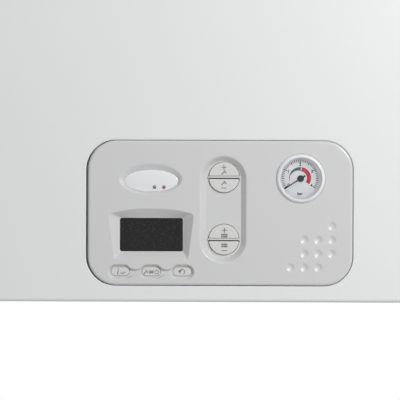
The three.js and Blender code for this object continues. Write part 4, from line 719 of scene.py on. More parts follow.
def stroke(points, width):
    """The outline of a line of even width through points."""
    sides = [], []
    for place, (x, z) in enumerate(points):
        before, after = points[max(place - 1, 0)], points[min(place + 1, len(points) - 1)]
        run = math.hypot(after[0] - before[0], after[1] - before[1])
        off_x, off_z = (before[1] - after[1]) / run * width / 2, (after[0] - before[0]) / run * width / 2
        sides[0].append((x + off_x, z + off_z))
        sides[1].append((x - off_x, z - off_z))
    return sides[0] + sides[1][::-1]


def moved(outlines, x, z, grow=1.0):
    return [[(x + u * grow, z + v * grow) for u, v in outline] for outline in outlines]


def ring_mark(radius, width, start, end):
    """Part of a ring, its ends given in quarter turns."""
    return [*arc(0, 0, radius + width / 2, start, end, 20), *arc(0, 0, radius - width / 2, end, start, 20)]


MINUS = [stroke([(-2.2, 0), (2.2, 0)], 0.75)]
PLUS = [*MINUS, stroke([(0, -2.2), (0, 2.2)], 0.75)]
TAP = [[
    (-2.5, -2.0), (-1.3, -2.3), (-0.9, -1.1), (0.2, -0.4), (1.3, -0.5), (1.5, -1.0), (2.3, -0.8), (2.1, 0.9),
    (1.4, 0.8), (1.2, 0.5), (0.7, 0.8), (0.9, 1.5), (1.5, 1.8), (1.2, 2.3), (-0.6, 1.5), (-0.4, 1.0),
    (0.1, 1.2), (-0.1, 0.6), (-1.3, 0.1), (-2.2, -0.9),
]]
RADIATOR = [stadium(-2.4 + 1.2 * rib, 0, 0.78, 4.0, 3) for rib in range(5)] + [
    rounded(0, z, 5.8, 0.5, 0.1, 1) for z in (1.05, -1.05)]
WAVE = stroke(
    [(0.4 + 0.5 * step, -1.9 + 0.75 * math.sin(step * 1.25) + 0.12 * step) for step in range(9)], 0.7)
POWER = [ring_mark(1.55, 0.6, 1.35, 4.65), stroke([(0, 0.5), (0, 2.3)], 0.6)]
SMALL_MARKS = {
    "key_info": [stroke([(-2.2, -2.9), (-1.7, 1.3)], 0.85), stroke([(-1.6, 2.0), (-1.5, 2.9)], 0.85), WAVE],
    "key_mode": [*moved(TAP, -4.5, -0.4, 0.8), *moved(RADIATOR, 0.1, -0.4, 0.68), *moved(POWER, 4.7, -0.4)],
    "key_reset": moved(
        [ring_mark(2.15, 0.75, -0.75, 2.4), [(-3.3, 0.9), (-0.4, 1.5), (-2.0, -1.1)]], 0, -0.1),
}


class BOILER_OT_round_keys(bpy.types.Operator):
    """Round keys for hot water and heating, each split into an upper and a lower half"""
    bl_idname = "boiler.round_keys"
    bl_label = "Round keys"

    def execute(self, context):
        for name, (z, side, x, sign_rise, icon_rise) in ROUND_KEYS.items():
            web = 1.25 if side > 0 else 1.45
            face = capped(
                name, lambda inwards: half_round(z, side, 12.92 - inwards, web + inwards), 0.25, 0.12)
            marks = moved(PLUS if side > 0 else MINUS, ROUND_KEY_X + x, z + sign_rise) + moved(
                TAP if "water" in name else RADIATOR, ROUND_KEY_X + x, z + icon_rise, 0.9)
            print_key(name, marks, face - 0.12 * MM)
        return {"FINISHED"}


class BOILER_OT_small_keys(bpy.types.Operator):
    """Three capsule keys under the display"""
    bl_idname = "boiler.small_keys"
    bl_label = "Small keys"

    def execute(self, context):
        for name, place in SMALL_KEYS.items():
            x = SMALL_KEY_X + place * KEY_PITCH
            face = capped(
                name, lambda inwards: stadium(x, SMALL_KEY_Z, 15.8 - inwards * 2, 7.5 - inwards * 2, 18),
                0.5, 0.1)
            print_key(name, moved(SMALL_MARKS[name], x, SMALL_KEY_Z), face - 0.1 * MM)
        return {"FINISHED"}


class BOILER_OT_badge(bpy.types.Operator):
    """Blank domed badge with its two lamp lenses, and the smoked display window"""
    bl_idname = "boiler.badge"
    bl_label = "Badge, lamps and display"

    def execute(self, context):
        low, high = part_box("badge_plate")
        layers = [(0, high.y), (0, low.y + 0.5 * MM)] + [
            (8.2 * (1 - math.cos(turn)), low.y + (0.5 - 1.3 * math.sin(turn)) * MM)
            for turn in quarter(15, 1)[:-1]]
        badge = layered("badge_dome", [
            (oval(-58.7, 26.8, 22.95 - inwards * 2.4, 9.45 - inwards, 72), y) for inwards, y in layers])
        for place in LAMPS.values():
            without(badge, turned("hole", at(*place, low.y + 3 * MM), [(1.55, 0), (1.55, 7)], sides=32))
        dress(badge, "gloss_white", "casing", "badge_plate", angle=40)
        for name, place in LAMPS.items():
            start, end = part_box(name)
            reach = (end.y - start.y) / MM
            dome = [(1.4 * math.cos(turn), reach + 0.6 * math.sin(turn)) for turn in quarter(7, 1)[:-1]]
            lens = turned(name + "_lens", at(*place, end.y), [(1.4, 0), (1.4, reach), *dome], sides=32)
            dress(lens, name[5:] + "_lamp", "casing", name, angle=50)
        start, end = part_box("display_window")
        window = layered("display_glass", [
            (rounded(*WINDOW, 53.9 - inwards * 2, 28.7 - inwards * 2, 1.8, 6), y) for inwards, y in (
                (0, end.y), (0, start.y + 0.3 * MM), (0.1, start.y + 0.1 * MM), (0.3, start.y))])
        dress(window, "dark_window", "casing", "display_window", angle=30)
        return {"FINISHED"}


# Pressure gauge. The needle points to 0 at rest, and its scale runs clockwise over 245 degrees.

DIAL_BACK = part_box("gauge_dial")[0].y
DIAL_FACE = DIAL_BACK - 1.0 * MM
ZERO, SPAN = 212.4, 245.0


def on_dial(radius, angle):
    turn = math.radians(angle)
    return (GAUGE[0] + radius * math.cos(turn), GAUGE[1] + radius * math.sin(turn))


def printed(radius, angle):
    """A place of the dial's print, which sits a little up and left of the needle's pin."""
    x, z = on_dial(radius, angle)
    return (x - 0.45, z + 0.5)


def scale_angle(pressure):
    return ZERO - SPAN * pressure / 4


def sweep(start, end, outer, inner, taper=None, count=30):
    """A coloured arc of the scale. With a taper, its start is as narrow as that."""
    angles = [mix(start, end, step / count) for step in range(count + 1)]
    width = outer - inner
    inners = [outer - mix(taper or width, width, (step / count) ** 0.8) for step in range(count + 1)]
    return [printed(outer, angle) for angle in angles] + [
        printed(radius, angle) for radius, angle in reversed(list(zip(inners, angles)))]


def lettering(text, size, place):
    """Printed characters, centred on a place of the dial."""
    deselect()
    bpy.ops.object.text_add()
    label = bpy.context.object
    label.data.body = text
    label.data.size = size * MM
    label.data.align_x, label.data.align_y = "CENTER", "CENTER"
    label.data.extrude = 0.02 * MM
    label.data.offset = 0.12 * MM
    bpy.ops.object.convert(target="MESH")
    piece = named("lettering")
    piece.rotation_euler = (QUARTER, 0, 0)
    piece.location = at(*place, DIAL_FACE - 0.03 * MM)
    return done(piece)


class BOILER_OT_gauge(bpy.types.Operator):
    """Pressure gauge: bezel, lens, printed dial, and needle with its hub"""
    bl_idname = "boiler.gauge"
    bl_label = "Pressure gauge"

    def execute(self, context):
        middle = at(*GAUGE, PANEL_FACE)
        bezel = turned("bezel_ring", middle, [
            (17.5, 0.9), (17.5, 1.4), (17.65, 1.8), (17.95, 2.1), (18.35, 2.25), (18.85, 2.2), (19.35, 1.95),
            (19.85, 1.5), (20.3, 0.95), (20.65, 0.5), (20.85, 0.1), (20.85, -0.3), (19.4, -0.3), (19.4, -6.0),
            (18.4, -6.0), (18.4, 0.9), (17.5, 0.9)], sides=128)
        dress(bezel, "gloss_white", "casing", "gauge_bezel", angle=50)
        lens = turned("gauge_window", middle, [
            (18.1, 0.0), (18.1, 0.75), (17.3, 0.85), (9.0, 1.05), (0.5, 1.1)], sides=96)
        dress(lens, "glass", "casing", "gauge_lens", angle=40)
        dial = turned("dial_plate", at(*GAUGE, DIAL_FACE), [
            (1.15, -0.8), (18.05, -0.8), (18.05, -0.15), (17.9, 0.0), (1.25, 0.0), (1.15, -0.1), (1.15, -0.8),
        ], sides=96)
        dress(dial, "dial_face", "casing", "gauge_dial", angle=40)
        self.print_dial()
        self.make_needle()
        return {"FINISHED"}

    def print_dial(self):
        ticks = []
        for step in range(41):
            start, width = (12.8, 0.8) if step % 10 == 0 else (13.2, 0.65) if step % 5 == 0 else (13.7, 0.55)
            angle = scale_angle(step / 10)
            ticks.append(stroke([printed(start, angle), printed(15.8, angle)], width))
        black = [stamped("ticks", ticks, DIAL_FACE)]
        black += [lettering(str(number), 3.9, printed(11.5, scale_angle(number))) for number in range(5)]
        black.append(lettering("bar", 3.5, printed(13.3, -90)))
        dress(joined("dial_print", black), "needle_black", "casing", finish="black_ink")
        green = stamped("dial_green", [sweep(170, 85, 9.3, 6.0, 0.5)], DIAL_FACE)
        dress(green, "green_lamp", "casing", finish="green_ink")
        red = stamped("dial_red", [sweep(80, -34, 9.4, 5.9), sweep(197, 171, 9.4, 8.6, 0.25)], DIAL_FACE)
        dress(red, "red_plastic", "casing", finish="red_ink")

    def make_needle(self):
        low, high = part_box("gauge_needle")
        blade_face = DIAL_FACE - 1.0 * MM
        blades = [layered("needle_blade", [
            (stroke([on_dial(0, ZERO), on_dial(reach, ZERO)], wide), blade_face),
            (stroke([on_dial(0, ZERO), on_dial(reach, ZERO)], wide - 0.25), blade_face - 0.45 * MM)])
            for reach, wide in ((16.2, 0.95), (-4.8, 1.3))]
        deep = (DIAL_BACK - low.y) / MM + 0.9
        dome = [(2.9 * math.cos(turn), 1.2 + (deep - 1.2) * math.sin(turn)) for turn in quarter(9)[:-1]]
        hub = turned("needle_hub", at(*GAUGE, DIAL_BACK), [(2.9, 0.35), *dome], sides=48)
        pin_end = (high.y - low.y) / MM - 1
        pin = turned("needle_pin", at(*GAUGE, high.y), [(0.8, 0.0), (0.8, pin_end)], sides=24)
        needle = joined("needle_and_hub", [*blades, hub, pin])
        dress(needle, "needle_black", "needle", "gauge_needle", angle=35)


# Inner pieces and small parts. Their sizes and places are in millimetres.

TIP = 0.05
FLUE = (0, -125)
DRUM, FAN, PUMP = (-40, -150), (122, -150), (112, -455)
GAS = (122, -139.9)
WATER_Y, PORT_Z, REAR_Y = -108, -542.8, -39.5


def slot_of(node):
    return next(entry["material_slot"] for entry in frame["record"]["subparts"] if entry["node"] == node)


def soften(body, **edges):
    """Replaces each named frame piece by its own copy, with edges rounded by the given width."""
    for node, width in edges.items():
        piece = placed(node + "_finished", frame["nodes"][node].data.copy())
        edit(piece, "VERT")
        bpy.ops.mesh.remove_doubles(threshold=0.00002)
        bpy.ops.mesh.dissolve_limited(angle_limit=math.radians(0.4))
        soft(done(piece), width, 2, 30)
        dress(piece, slot_of(node), body, node, angle=40)


def stand_in(node, *pieces, body="casing", angle=38):
    """Joins new pieces into one that takes a frame piece's place and finish."""
    dress(joined(node + "_finished", pieces), slot_of(node), body, node, angle=angle)


def extra(name, finish, *pieces, angle=38):
    """Joins small parts that the frame leaves to this script."""
    slot = "galvanised" if finish == "bright_zinc" else finish
    dress(joined(name, pieces), slot, "casing", finish=finish, angle=angle)


def spun(place, facing, profile, sides):
    """A turned piece. The profile of a solid is closed at its end if it doesn't reach the axis."""
    if profile[0] != profile[-1] and profile[-1][0] > TIP:
        profile = [*profile, (TIP, profile[-1][1])]
    return turned("piece", [part * MM for part in place], profile, facing, sides)


def upright(centre, profile, sides=40):
    """A turned piece about an upright axis at (x, y), its profile as (radius, height)."""
    return spun((*centre, 0), "+z", profile, sides)


def facing_out(centre, profile, sides=48):
    """A turned piece about an axis from back to front at (x, z), its profile as (radius, depth)."""
    return spun((centre[0], 0, centre[1]), "+y", profile, sides)


def across(profile, sides=40):
    """A turned piece about the axis of the water ports, its profile as (radius, place from side to side)."""
    return spun((0, WATER_Y, PORT_Z), "+x", profile, sides)


def bar(outline, start, end, along="x"):
    """A straight bar: an outline drawn across an axis, and pulled from start to end."""
    places = {"x": lambda u, v, w: (w, u, v), "y": lambda u, v, w: (u, w, v), "z": lambda u, v, w: (u, v, w)}
    return solid_of("bar", [[
        [[part * MM for part in places[along](u, v, w)] for u, v in outline] for w in (start, end)]])


def stacked(layers):
    """A solid through outlines that face forward, each with its own depth."""
    return solid_of("stack", [[[(x * MM, y * MM, z * MM) for x, z in outline] for outline, y in layers]])


def put(piece, place, turn=0, axis="z"):
    """Turns a piece by degrees about an axis, and moves it to its place."""
    setattr(piece.rotation_euler, axis, math.radians(turn))
    piece.location = [part * MM for part in place]
    return done(piece)


def hexagon(low, high, radius):
    """Profile of a nut or hexagon with chamfered ends."""
    return [(radius * 0.88, low), (radius, low + 0.9), (radius, high - 0.9), (radius * 0.88, high)]


def nut(centre, low, high, radius):
    return upright(centre, hexagon(low, high, radius), 6)


def threaded(low, high, radius, pitch=1.8):
    """Profile of an outside thread between two heights."""
    steps = [(radius - 0.9, 0), (radius, 0.35), (radius, 0.5), (radius - 0.9, 0.85)]
    return [(wide, low + pitch * (turn + rise)) for turn in range(int((high - low) / pitch))
            for wide, rise in steps] + [(radius - 0.9, high)]


def round_path(points, bend, arcs=7):
    """The route through points, with its corners rounded to a bend radius."""
    places = [Vector(point) for point in points]
    route = [places[0]]
    for before, place, after in zip(places, places[1:], places[2:]):
        way_in, way_out = (place - before).normalized(), (after - place).normalized()
        reach = bend * math.tan(way_in.angle(way_out) / 2)
        start, end = place - way_in * reach, place + way_out * reach
        for share in [step / arcs for step in range(arcs + 1)]:
            route.append(start.lerp(place, share).lerp(place.lerp(end, share), share))
    return [*route, places[-1]]


def pipe(points, bend, radius, rings=0.0, pitch=3.4):
    """A pipe along a route, or with rings a corrugated hose."""
    route = round_path(points, bend)
    if rings:
        fine = [route[0]]
        for start, end in zip(route, route[1:]):
            count = max(1, round((end - start).length / (pitch / 4)))
            fine += [start.lerp(end, step / count) for step in range(1, count + 1)]
        route = fine
    data = bpy.data.curves.new("pipe", "CURVE")
    data.dimensions = "3D"
    data.bevel_depth = radius * MM
    data.bevel_resolution = 6
    data.use_fill_caps = True
    spline = data.splines.new("POLY")
    spline.points.add(len(route) - 1)
    for number, (point, where) in enumerate(zip(spline.points, route)):
        point.co = (*(where * MM), 1)
        point.radius = 1 - rings * (number % 4 < 2)
    pick(placed("pipe", data))
    bpy.ops.object.convert(target="MESH")
    edit(bpy.context.object)
    return outwards(bpy.context.object)


def copies(master, places):
    """Copies of the master at the given places, joined into one piece."""
    pieces = [put(placed("copy", master.data.copy()), place) for place in places]
    bpy.data.objects.remove(master)
    return joined("row", pieces)


def screw_heads(name, facing, places, radius=3.4, rise=2.0):
    """Pan-head screws with a crossed recess, at places on one face."""
    head = turned("screw", (0, 0, 0), [
        (radius * 0.98, -0.4), (radius, 0.1), (radius, rise * 0.45), (radius * 0.93, rise * 0.72),
        (radius * 0.75, rise * 0.9), (radius * 0.4, rise), (TIP, rise + 0.05)], facing, 24)
    wide, long = radius * 0.26 * MM, radius * 1.1 * MM
    for width, height in ((wide, long), (long, wide)):
        cross = plate("cross", AXES[facing] * (rise - 1.1) * MM, width, height, facing)
        without(head, prism(cross, AXES[facing] * 3 * MM))
    extra(name, "bright_zinc", copies(head, places), angle=35)


def around(centre, radius, y, angles):
    """Places on a circle that faces forward."""
    turns = [math.radians(angle) for angle in angles]
    return [(centre[0] + radius * math.cos(turn), y, centre[1] + radius * math.sin(turn)) for turn in turns]


# Casing behind the cover, and the flue connection

class BOILER_OT_shell(bpy.types.Operator):
    """Side panels, top plate, base tray, rear frame, wall bracket and cover seal, with their screws"""
    bl_idname = "boiler.shell"
    bl_label = "Casing panels"

    def execute(self, context):
        soften(
            "casing", side_panel_left=0.45, side_panel_right=0.45, top_plate=0.4, base_tray=0.4,
            rear_frame=0.5, wall_bracket=0.5, cover_seal=1.2)
        screw_heads("top_screws", "+z", [(x, y, 43.5) for x in (-189, 189) for y in (-185, -105, -30)])
        screw_heads("base_screws", "-z", [(x, y, -595) for x in (-191, 191) for y in (-150, -30)], 3.0, 1.6)
        return {"FINISHED"}


class BOILER_OT_flue(bpy.types.Operator):
    """Coaxial flue adapter with its gasket, seals, screws and sampling plugs"""
    bl_idname = "boiler.flue"
    bl_label = "Flue connection"

    def execute(self, context):
        collar = upright(FLUE, [
            (50, 46.1), (66, 46.1), (66.5, 46.6), (66.5, 49.4), (66, 50), (56, 50.1), (54, 50.6), (52.9, 52),
            (52.5, 54), (52.5, 92), (53.4, 93), (53.6, 94.5), (53.4, 96), (52.5, 97), (52.5, 102),
            (53.2, 103.4), (54.6, 104.2), (55, 105), (54.8, 106.3), (53.8, 107), (51, 107), (50.2, 106.6),
            (50, 105.5), (50, 46.1)], 96)
        inner = upright(FLUE, [
            (30, 23.5), (32.2, 23.5), (32.5, 24), (32.5, 102), (32.1, 102.9), (31, 103), (30.2, 102.6),
            (30, 102), (30, 23.5)], 80)
        webs = [put(bar(rounded(42, 0, 20, 3, 0.4, 2), 46.1, 62.1, "z"), (*FLUE, 0), turn)
                for turn in (60, 180, 300)]
        ports = [(-12, 76), (12, 76)]
        stand_in("flue_adapter", collar, inner, *webs, *[facing_out(port, [
            (5.6, -183.5), (6, -182.8), (6, -179), (5.2, -178.4), (5.2, -176)], 32) for port in ports])
        extra("port_plugs", "black_plastic", *[facing_out(port, [
            (TIP, -184.3), (3.2, -184.3), (3.6, -183.9), (3.6, -183)], 24) for port in ports])
        stand_in("flue_gasket", upright(FLUE, [
            (50, 43.8), (66.1, 43.8), (66.5, 44.3), (66.5, 45.3), (66.1, 45.8), (50, 45.8), (50, 43.8)], 96))
        stand_in("flue_duct", upright(FLUE, [
            (27.5, -65.7), (29.7, -65.7), (29.7, -49), (29.9, -48), (29.9, -45), (29.7, -44), (29.7, 34.5),
            (29.3, 36.5), (28.6, 36.83), (27.5, 36.83), (27.5, -65.7)], 72))
        lips = [(0, 96), (0.9, 97), (1.7, 96.6), (0.9, 98.2), (1.7, 99.4), (0.9, 100.2), (0, 101), (0, 96)]
        extra("lip_seals", "seal_rubber", *[
            upright(FLUE, [(radius - inwards, z) for inwards, z in lips], 72) for radius in (50.1, 30.1)])
        turns = [QUARTER / 2 + QUARTER * step for step in range(4)]
        screw_heads("flue_screws", "+z", [
            (60 * math.cos(turn), FLUE[1] + 60 * math.sin(turn), 50.1) for turn in turns], 3.6, 2.2)
        return {"FINISHED"}


# Burner side

class BOILER_OT_heat_exchanger(bpy.types.Operator):
    """Heat exchanger drum with its coils, flue outlet, connections and union nuts"""
    bl_idname = "boiler.heat_exchanger"
    bl_label = "Heat exchanger"

    def execute(self, context):
        coils = [(91 + 4 * math.sqrt(abs(math.sin(step / 12 * math.pi))), -65.8 - 98 * step / 36)
                 for step in range(37)]
        drum = facing_out(DRUM, [(84, -65.8), *coils, (84, -163.8)], 72)
        outlet = upright(FLUE, [
            (32.8, -150), (32.8, -58), (33, -56.5), (33, -53.5), (32.4, -52.3), (31, -52), (30.2, -52.6),
            (30.2, -66)], 64)
        places = ((-80, WATER_Y), (0, WATER_Y), (-40, -142))
        stand_in("heat_exchanger", drum, outlet, *[
            upright(place, [(10.6, -250.4), (11, -250), (11, -170)]) for place in places])
        extra("exchanger_nuts", "brass", *[
            upright(place, [(11.2, -249.4), *hexagon(-249.4, -238, 13.4)], 6) for place in places])
        return {"FINISHED"}


class BOILER_OT_burner_door(bpy.types.Operator):
    """Burner door with its dome, duct, sight glass, nuts and ignition electrode"""
    bl_idname = "boiler.burner_door"
    bl_label = "Burner door"

    def execute(self, context):
        dome = [(68 * math.cos(turn), -171.2 - 18.5 * math.sin(turn)) for turn in quarter(16, 1)[:-1]]
        door = facing_out(DRUM, [
            (87.4, -164.1), (88, -164.7), (88, -169.2), (87.2, -170.1), (74, -170.1), (71.5, -169.4),
            (69.5, -169.6), (68, -171.2), *dome, (TIP, -189.7)], 96)
        duct = solid_of("duct", [[
            [(x * MM, y * MM, z * MM) for y, z in rounded(middle, height, wide, high, 5, 6)]
            for x, middle, height, wide, high in (
                (-56, -178, -116, 14, 16), (-42, -180.4, -112, 20, 22), (-26, -183, -109, 27, 27),
                (-10, -184.2, -108, 30, 28), (64.9, -184.2, -108, 30, 28))]])
        rim = soft(bar(rounded(-184.2, -108.7, 35.4, 31.8, 5, 6), 60.5, 64.9), 0.6)
        stand_in("burner_door", door, duct, rim)
        sight, spark = (-62, -158), (-95.15, -205.15)
        ring = facing_out(sight, [
            (5.2, -186), (9, -186), (9.4, -187), (9.4, -190.2), (8.8, -191), (6, -191), (5.2, -190.2),
            (5.2, -186)])
        bolts = around(DRUM, 78, -170.1, (-4, 66, 125, 185, 262, 312))
        nuts = copies(facing_out((0, 0), [(5.2, 0), (5.8, -0.7), (5.8, -4.4), (5.2, -5)], 6), bolts)
        studs = copies(facing_out((0, 0), [(2.9, -4), (2.9, -9.6), (2.4, -10.2)], 20), bolts)
        extra("door_nuts", "bright_zinc", ring, nuts, studs)
        extra("sight_glass", "dark_window", facing_out(
            sight, [(5.3, -186.5), (5.3, -189.2), (5, -189.6)], 32))
        ceramic = [(4.4, -170.9)]
        for start in [-172.5 - 3.6 * step for step in range(4)]:
            ceramic += [
                (4.4, start), (4.1, start - 0.5), (3.4, start - 0.9), (3.4, start - 2.3), (4.1, start - 2.8)]
        ceramic += [(4.4, -187), (3.6, -188.6), (1.6, -191.4), (TIP, -191.6)]
        base = bar(rounded(*spark, 17.6, 17.6, 4.4, 6), -171.6, -170.2, "y")
        stand_in("ignition_electrode", facing_out(spark, ceramic, 40))
        pin = facing_out(spark, [(1.4, -190), (1.4, -196), (1.0, -196.7), (TIP, -196.8)], 20)
        extra("electrode_plate", "bright_zinc", base, pin)
        return {"FINISHED"}


def volute(inset, count=72):
    """The fan's spiral outline, drawn inwards by an inset."""
    turns = [(QUARTER * (1 - 4 * step / count), 57 - 7 * step / count - inset) for step in range(count)]
    return [(FAN[0] + radius * math.cos(turn), FAN[1] + radius * math.sin(turn)) for turn, radius in turns]


class BOILER_OT_fan(bpy.types.Operator):
    """Fan: volute housing, impeller and motor"""
    bl_idname = "boiler.fan"
    bl_label = "Fan"

    def execute(self, context):
        shell = stacked([(volute(inset), y) for inset, y in (
            (3, -202.2), (1.8, -202), (0.8, -201.4), (0.2, -200.4), (0, -199.2), (0, -186), (-1.3, -185.6),
            (-1.3, -182.9), (0, -182.5), (0, -166.2))])
        combine("UNION", shell, bar(rounded(-184.2, -108.75, 36, 32.5, 4, 5), 65.3, 122.3))
        without(
            shell, stacked([(volute(3), -199.2), (volute(3), -169.2)]),
            bar(rounded(-184.2, -108.75, 30, 26.5, 3, 4), 60, 122), facing_out(FAN, [(24, -172), (24, -164)]),
            facing_out(FAN, [(6, -205), (6, -197)], 24))
        stand_in("fan_housing", shell)
        screw_heads("fan_screws", "-y", around(FAN, 44, -202.2, (-10, 50, 170, 230, 290)), 3.0, 1.8)
        soften("impeller", fan_impeller=0.2)
        stand_in("fan_motor", facing_out(FAN, [
            (TIP, -212.5), (3.3, -212.5), (3.3, -202.5), (32, -202.5), (33, -203.4), (33, -208), (32, -208.6),
            (32, -210), (33, -210.6), (33, -214.4), (32, -215), (32, -216.4), (33, -217), (33, -220.4),
            (31.8, -222.2), (29, -223.2), (28.2, -224.8), (28.05, -232.4), (27.2, -233.8), (25.4, -234.2),
            (11, -234.2), (10.2, -233.4)], 72))
        extra("fan_plug", "white_plastic", put(bar(rounded(0, 0, 15, 8, 1.2, 3), 0, 12), (88, -213, -167)))
        return {"FINISHED"}


class BOILER_OT_gas_side(bpy.types.Operator):
    """Gas and air mixer, gas valve with its coils, gas pipe and air intake silencer"""
    bl_idname = "boiler.gas_side"
    bl_label = "Gas and air"

    def execute(self, context):
        mixer = facing_out(FAN, [
            (18.2, -165.9), (33.2, -165.9), (33.8, -165.2), (33.8, -161.4), (33, -160.4), (26, -158),
            (22.6, -155), (22.1, -152), (22.1, -133), (23, -128), (25.2, -123.4), (26, -121), (26, -114.4),
            (25.4, -113.9), (21, -113.9), (17, -127), (13, -142.5), (15.6, -154), (18.2, -165.9)], 64)
        stand_in("gas_air_mixer", mixer, upright(GAS, [(7.4, -212.4), (8, -211.8), (8, -172), (7, -168)]))
        block = soft(bar(rounded(*GAS, 52, 58, 7, 6), -372, -288, "z"), 1.2, 3)
        outlet = upright(GAS, [(8, -300), (8, -213.3), (7.4, -212.7)])
        entry = upright(GAS, [(TIP, -380), (9.4, -380), (10, -379.4), (10, -360)])
        coil_places = [(GAS[0], z) for z in (-351, -309)]
        seats = [facing_out(place, [(16.2, -168.9), (16.2, -170.4), (15.6, -171)]) for place in coil_places]
        stand_in("gas_valve", block, outlet, entry, *seats)
        extra("valve_coils", "black_plastic", *[facing_out(place, [
            (14, -170.6), (14, -172.4), (13.2, -173), (13.2, -186.6), (14, -187.2), (14, -190.4),
            (13.2, -191.4), (5.4, -191.4), (5.2, -192.9)]) for place in coil_places])
        nuts = [upright(GAS, [(10.2, low), *hexagon(low, low + 9, 12.6)], 6) for low in (-285, -225)]
        pins = [facing_out((x, -365), [(2.6, -168), (2.6, -173), (2, -174.5)], 20) for x in (104, 140)]
        extra("valve_fittings", "brass", *nuts, *pins)
        screw_heads("valve_screws", "-y", [(x, -168.9, z) for x in (101, 143) for z in (-330, -293)], 2.8)
        stand_in("gas_pipe", pipe([
            (0, -60, -587.5), (0, -60, -398.5), (GAS[0], -60, -398.5), (*GAS, -398.5), (*GAS, -380.3),
        ], 15, 7.5))
        soften("casing", air_intake_silencer=1.6)
        extra("silencer_ribs", "grey_plastic", *[
            bar(rounded(GAS[0], z, 66, 2.4, 1.1, 3), -114.2, -112.5, "y") for z in (-30, -42, -54, -66)])
        return {"FINISHED"}


# Water side

STUB_Y = -60
STUBS = {
    "heating_flow_stub": -130, "hot_water_stub": -65, "gas_stub": 0, "cold_water_stub": 65,
    "heating_return_stub": 130,
}
TAP_PLACE, VALVE_PLACE = (78, -126), (168, WATER_Y)


class BOILER_OT_stubs(bpy.types.Operator):
    """Five connection stubs under the boiler, with threads and hexagons"""
    bl_idname = "boiler.stubs"
    bl_label = "Connection stubs"

    def execute(self, context):
        for node, x in STUBS.items():
            tail = upright((x, STUB_Y), [
                (TIP, -607.3), (6.5, -607.3), (6.5, -628.8), (7, -629.3), (9.2, -629.3),
                *threaded(-628.8, -606, 10.5), (9.2, -597), (10.2, -595.3), (10.5, -594.8), (10.5, -588.4),
                (10, -587.8)], 36)
            stand_in(node, tail, nut((x, STUB_Y), -603.3, -595.3, 15), angle=30)
        return {"FINISHED"}


def manifold(side):
    """The pieces that both water blocks share, on the left or right."""
    x = side * 112
    base = soft(bar(rounded(side * 97.5, -93, 95, 96, 9, 8), -593.5, -584.5, "z"), 1.2, 3)
    tower = upright((x, WATER_Y), [
        (20, -588), (20, -575), (18.4, -573.4), (18.4, -562), (20, -560.4), (20, -525), (18.4, -523.4),
        (18.4, -517), (20, -515.4), (20, -510.5), (19.3, -509.8)], 48)
    arm = across([(radius, side * reach) for radius, reach in (
        (17, 112), (17, 74), (18.4, 73), (18.4, 63), (17.6, 62.3))], 48)
    port = facing_out((x, PORT_Z), [
        (13.6, -108), (13.6, -133), (15, -134), (15, -137), (13.6, -138), (13.6, -149.2), (12.8, -150)])
    bosses = [
        upright((side * place, STUB_Y), [(10.8, -587.5), (10.8, -594.8), (10.2, -595.5)], 36)
        for place in (65, 130)]
    web = [(0, -586), (36, -586), (36, -583), (19, -558), (0, -558)]
    ribs = [put(bar(web, -1.3, 1.3, "y"), (x, WATER_Y, 0), turn) for turn in (45, 135, 225, 315)]
    return [base, tower, arm, port, *bosses, *ribs]


class BOILER_OT_manifolds(bpy.types.Operator):
    """Flow and return manifolds with their clips and port plugs"""
    bl_idname = "boiler.manifolds"
    bl_label = "Manifolds"

    def execute(self, context):
        stand_in("flow_manifold", *manifold(-1), upright((-80, WATER_Y), [
            (11, PORT_Z), (11, -513), (12.6, -512), (12.6, -505), (12, -503.8)]))
        stand_in(
            "return_manifold", *manifold(1),
            facing_out((112, PORT_Z), [(11.2, -108), (11.2, -32.3), (10.4, -31.5)]),
            upright((112, REAR_Y), [(8, PORT_Z), (8, -523.6), (7.4, -522.8)]),
            across([(11, 112), (11, 149.2), (10.4, 150)]),
            upright(TAP_PLACE, [(7, -587.5), (7, -593.4), (6.6, -593.8)]))
        clips = [
            across([(radius, side * x) for radius, x in (
                (18.5, 66), (19.8, 66), (19.8, 68), (18.5, 68), (18.5, 66))]) for side in (-1, 1)]
        clips += [
            upright((x, WATER_Y), [
                (18.5, -521.4), (20.9, -521.4), (20.9, -519.6), (18.5, -519.6), (18.5, -521.4)])
            for x in (-112, 112)]
        extra("manifold_clips", "bright_zinc", *clips)
        extra("port_caps", "brass", *[
            facing_out((x, PORT_Z), [(11.5, -149.5), (11.5, -152), (10.6, -153)], 6) for x in (-112, 112)])
        return {"FINISHED"}


class BOILER_OT_plates(bpy.types.Operator):
    """Plate heat exchanger, a brazed stack of pressed plates"""
    bl_idname = "boiler.plates"
    bl_label = "Plate heat exchanger"

    def execute(self, context):
        rear, front, count = -82.1, -135, 23
        deep = (rear - front) / count
        layers = [
            (draw, rear - (number + part) * deep) for number in range(count)
            for draw, part in ((1.3, 0), (0.1, 0.35), (0, 0.6), (1.1, 0.7))]
        stack = stacked([
            (rounded(0, PORT_Z, 124 - 2 * draw, 66 - 2 * draw, 12 - draw, 7), y)
            for draw, y in [*layers, (1.1, -134.4), (2.2, front)]])
        stand_in("plate_heat_exchanger", stack, *[
            facing_out((x, z), [(9.4, -134.8), (8.6, -135.6), (6, -135.9)], 36)
            for x in (-44, 44) for z in (-560, -525.6)], angle=30)
        return {"FINISHED"}


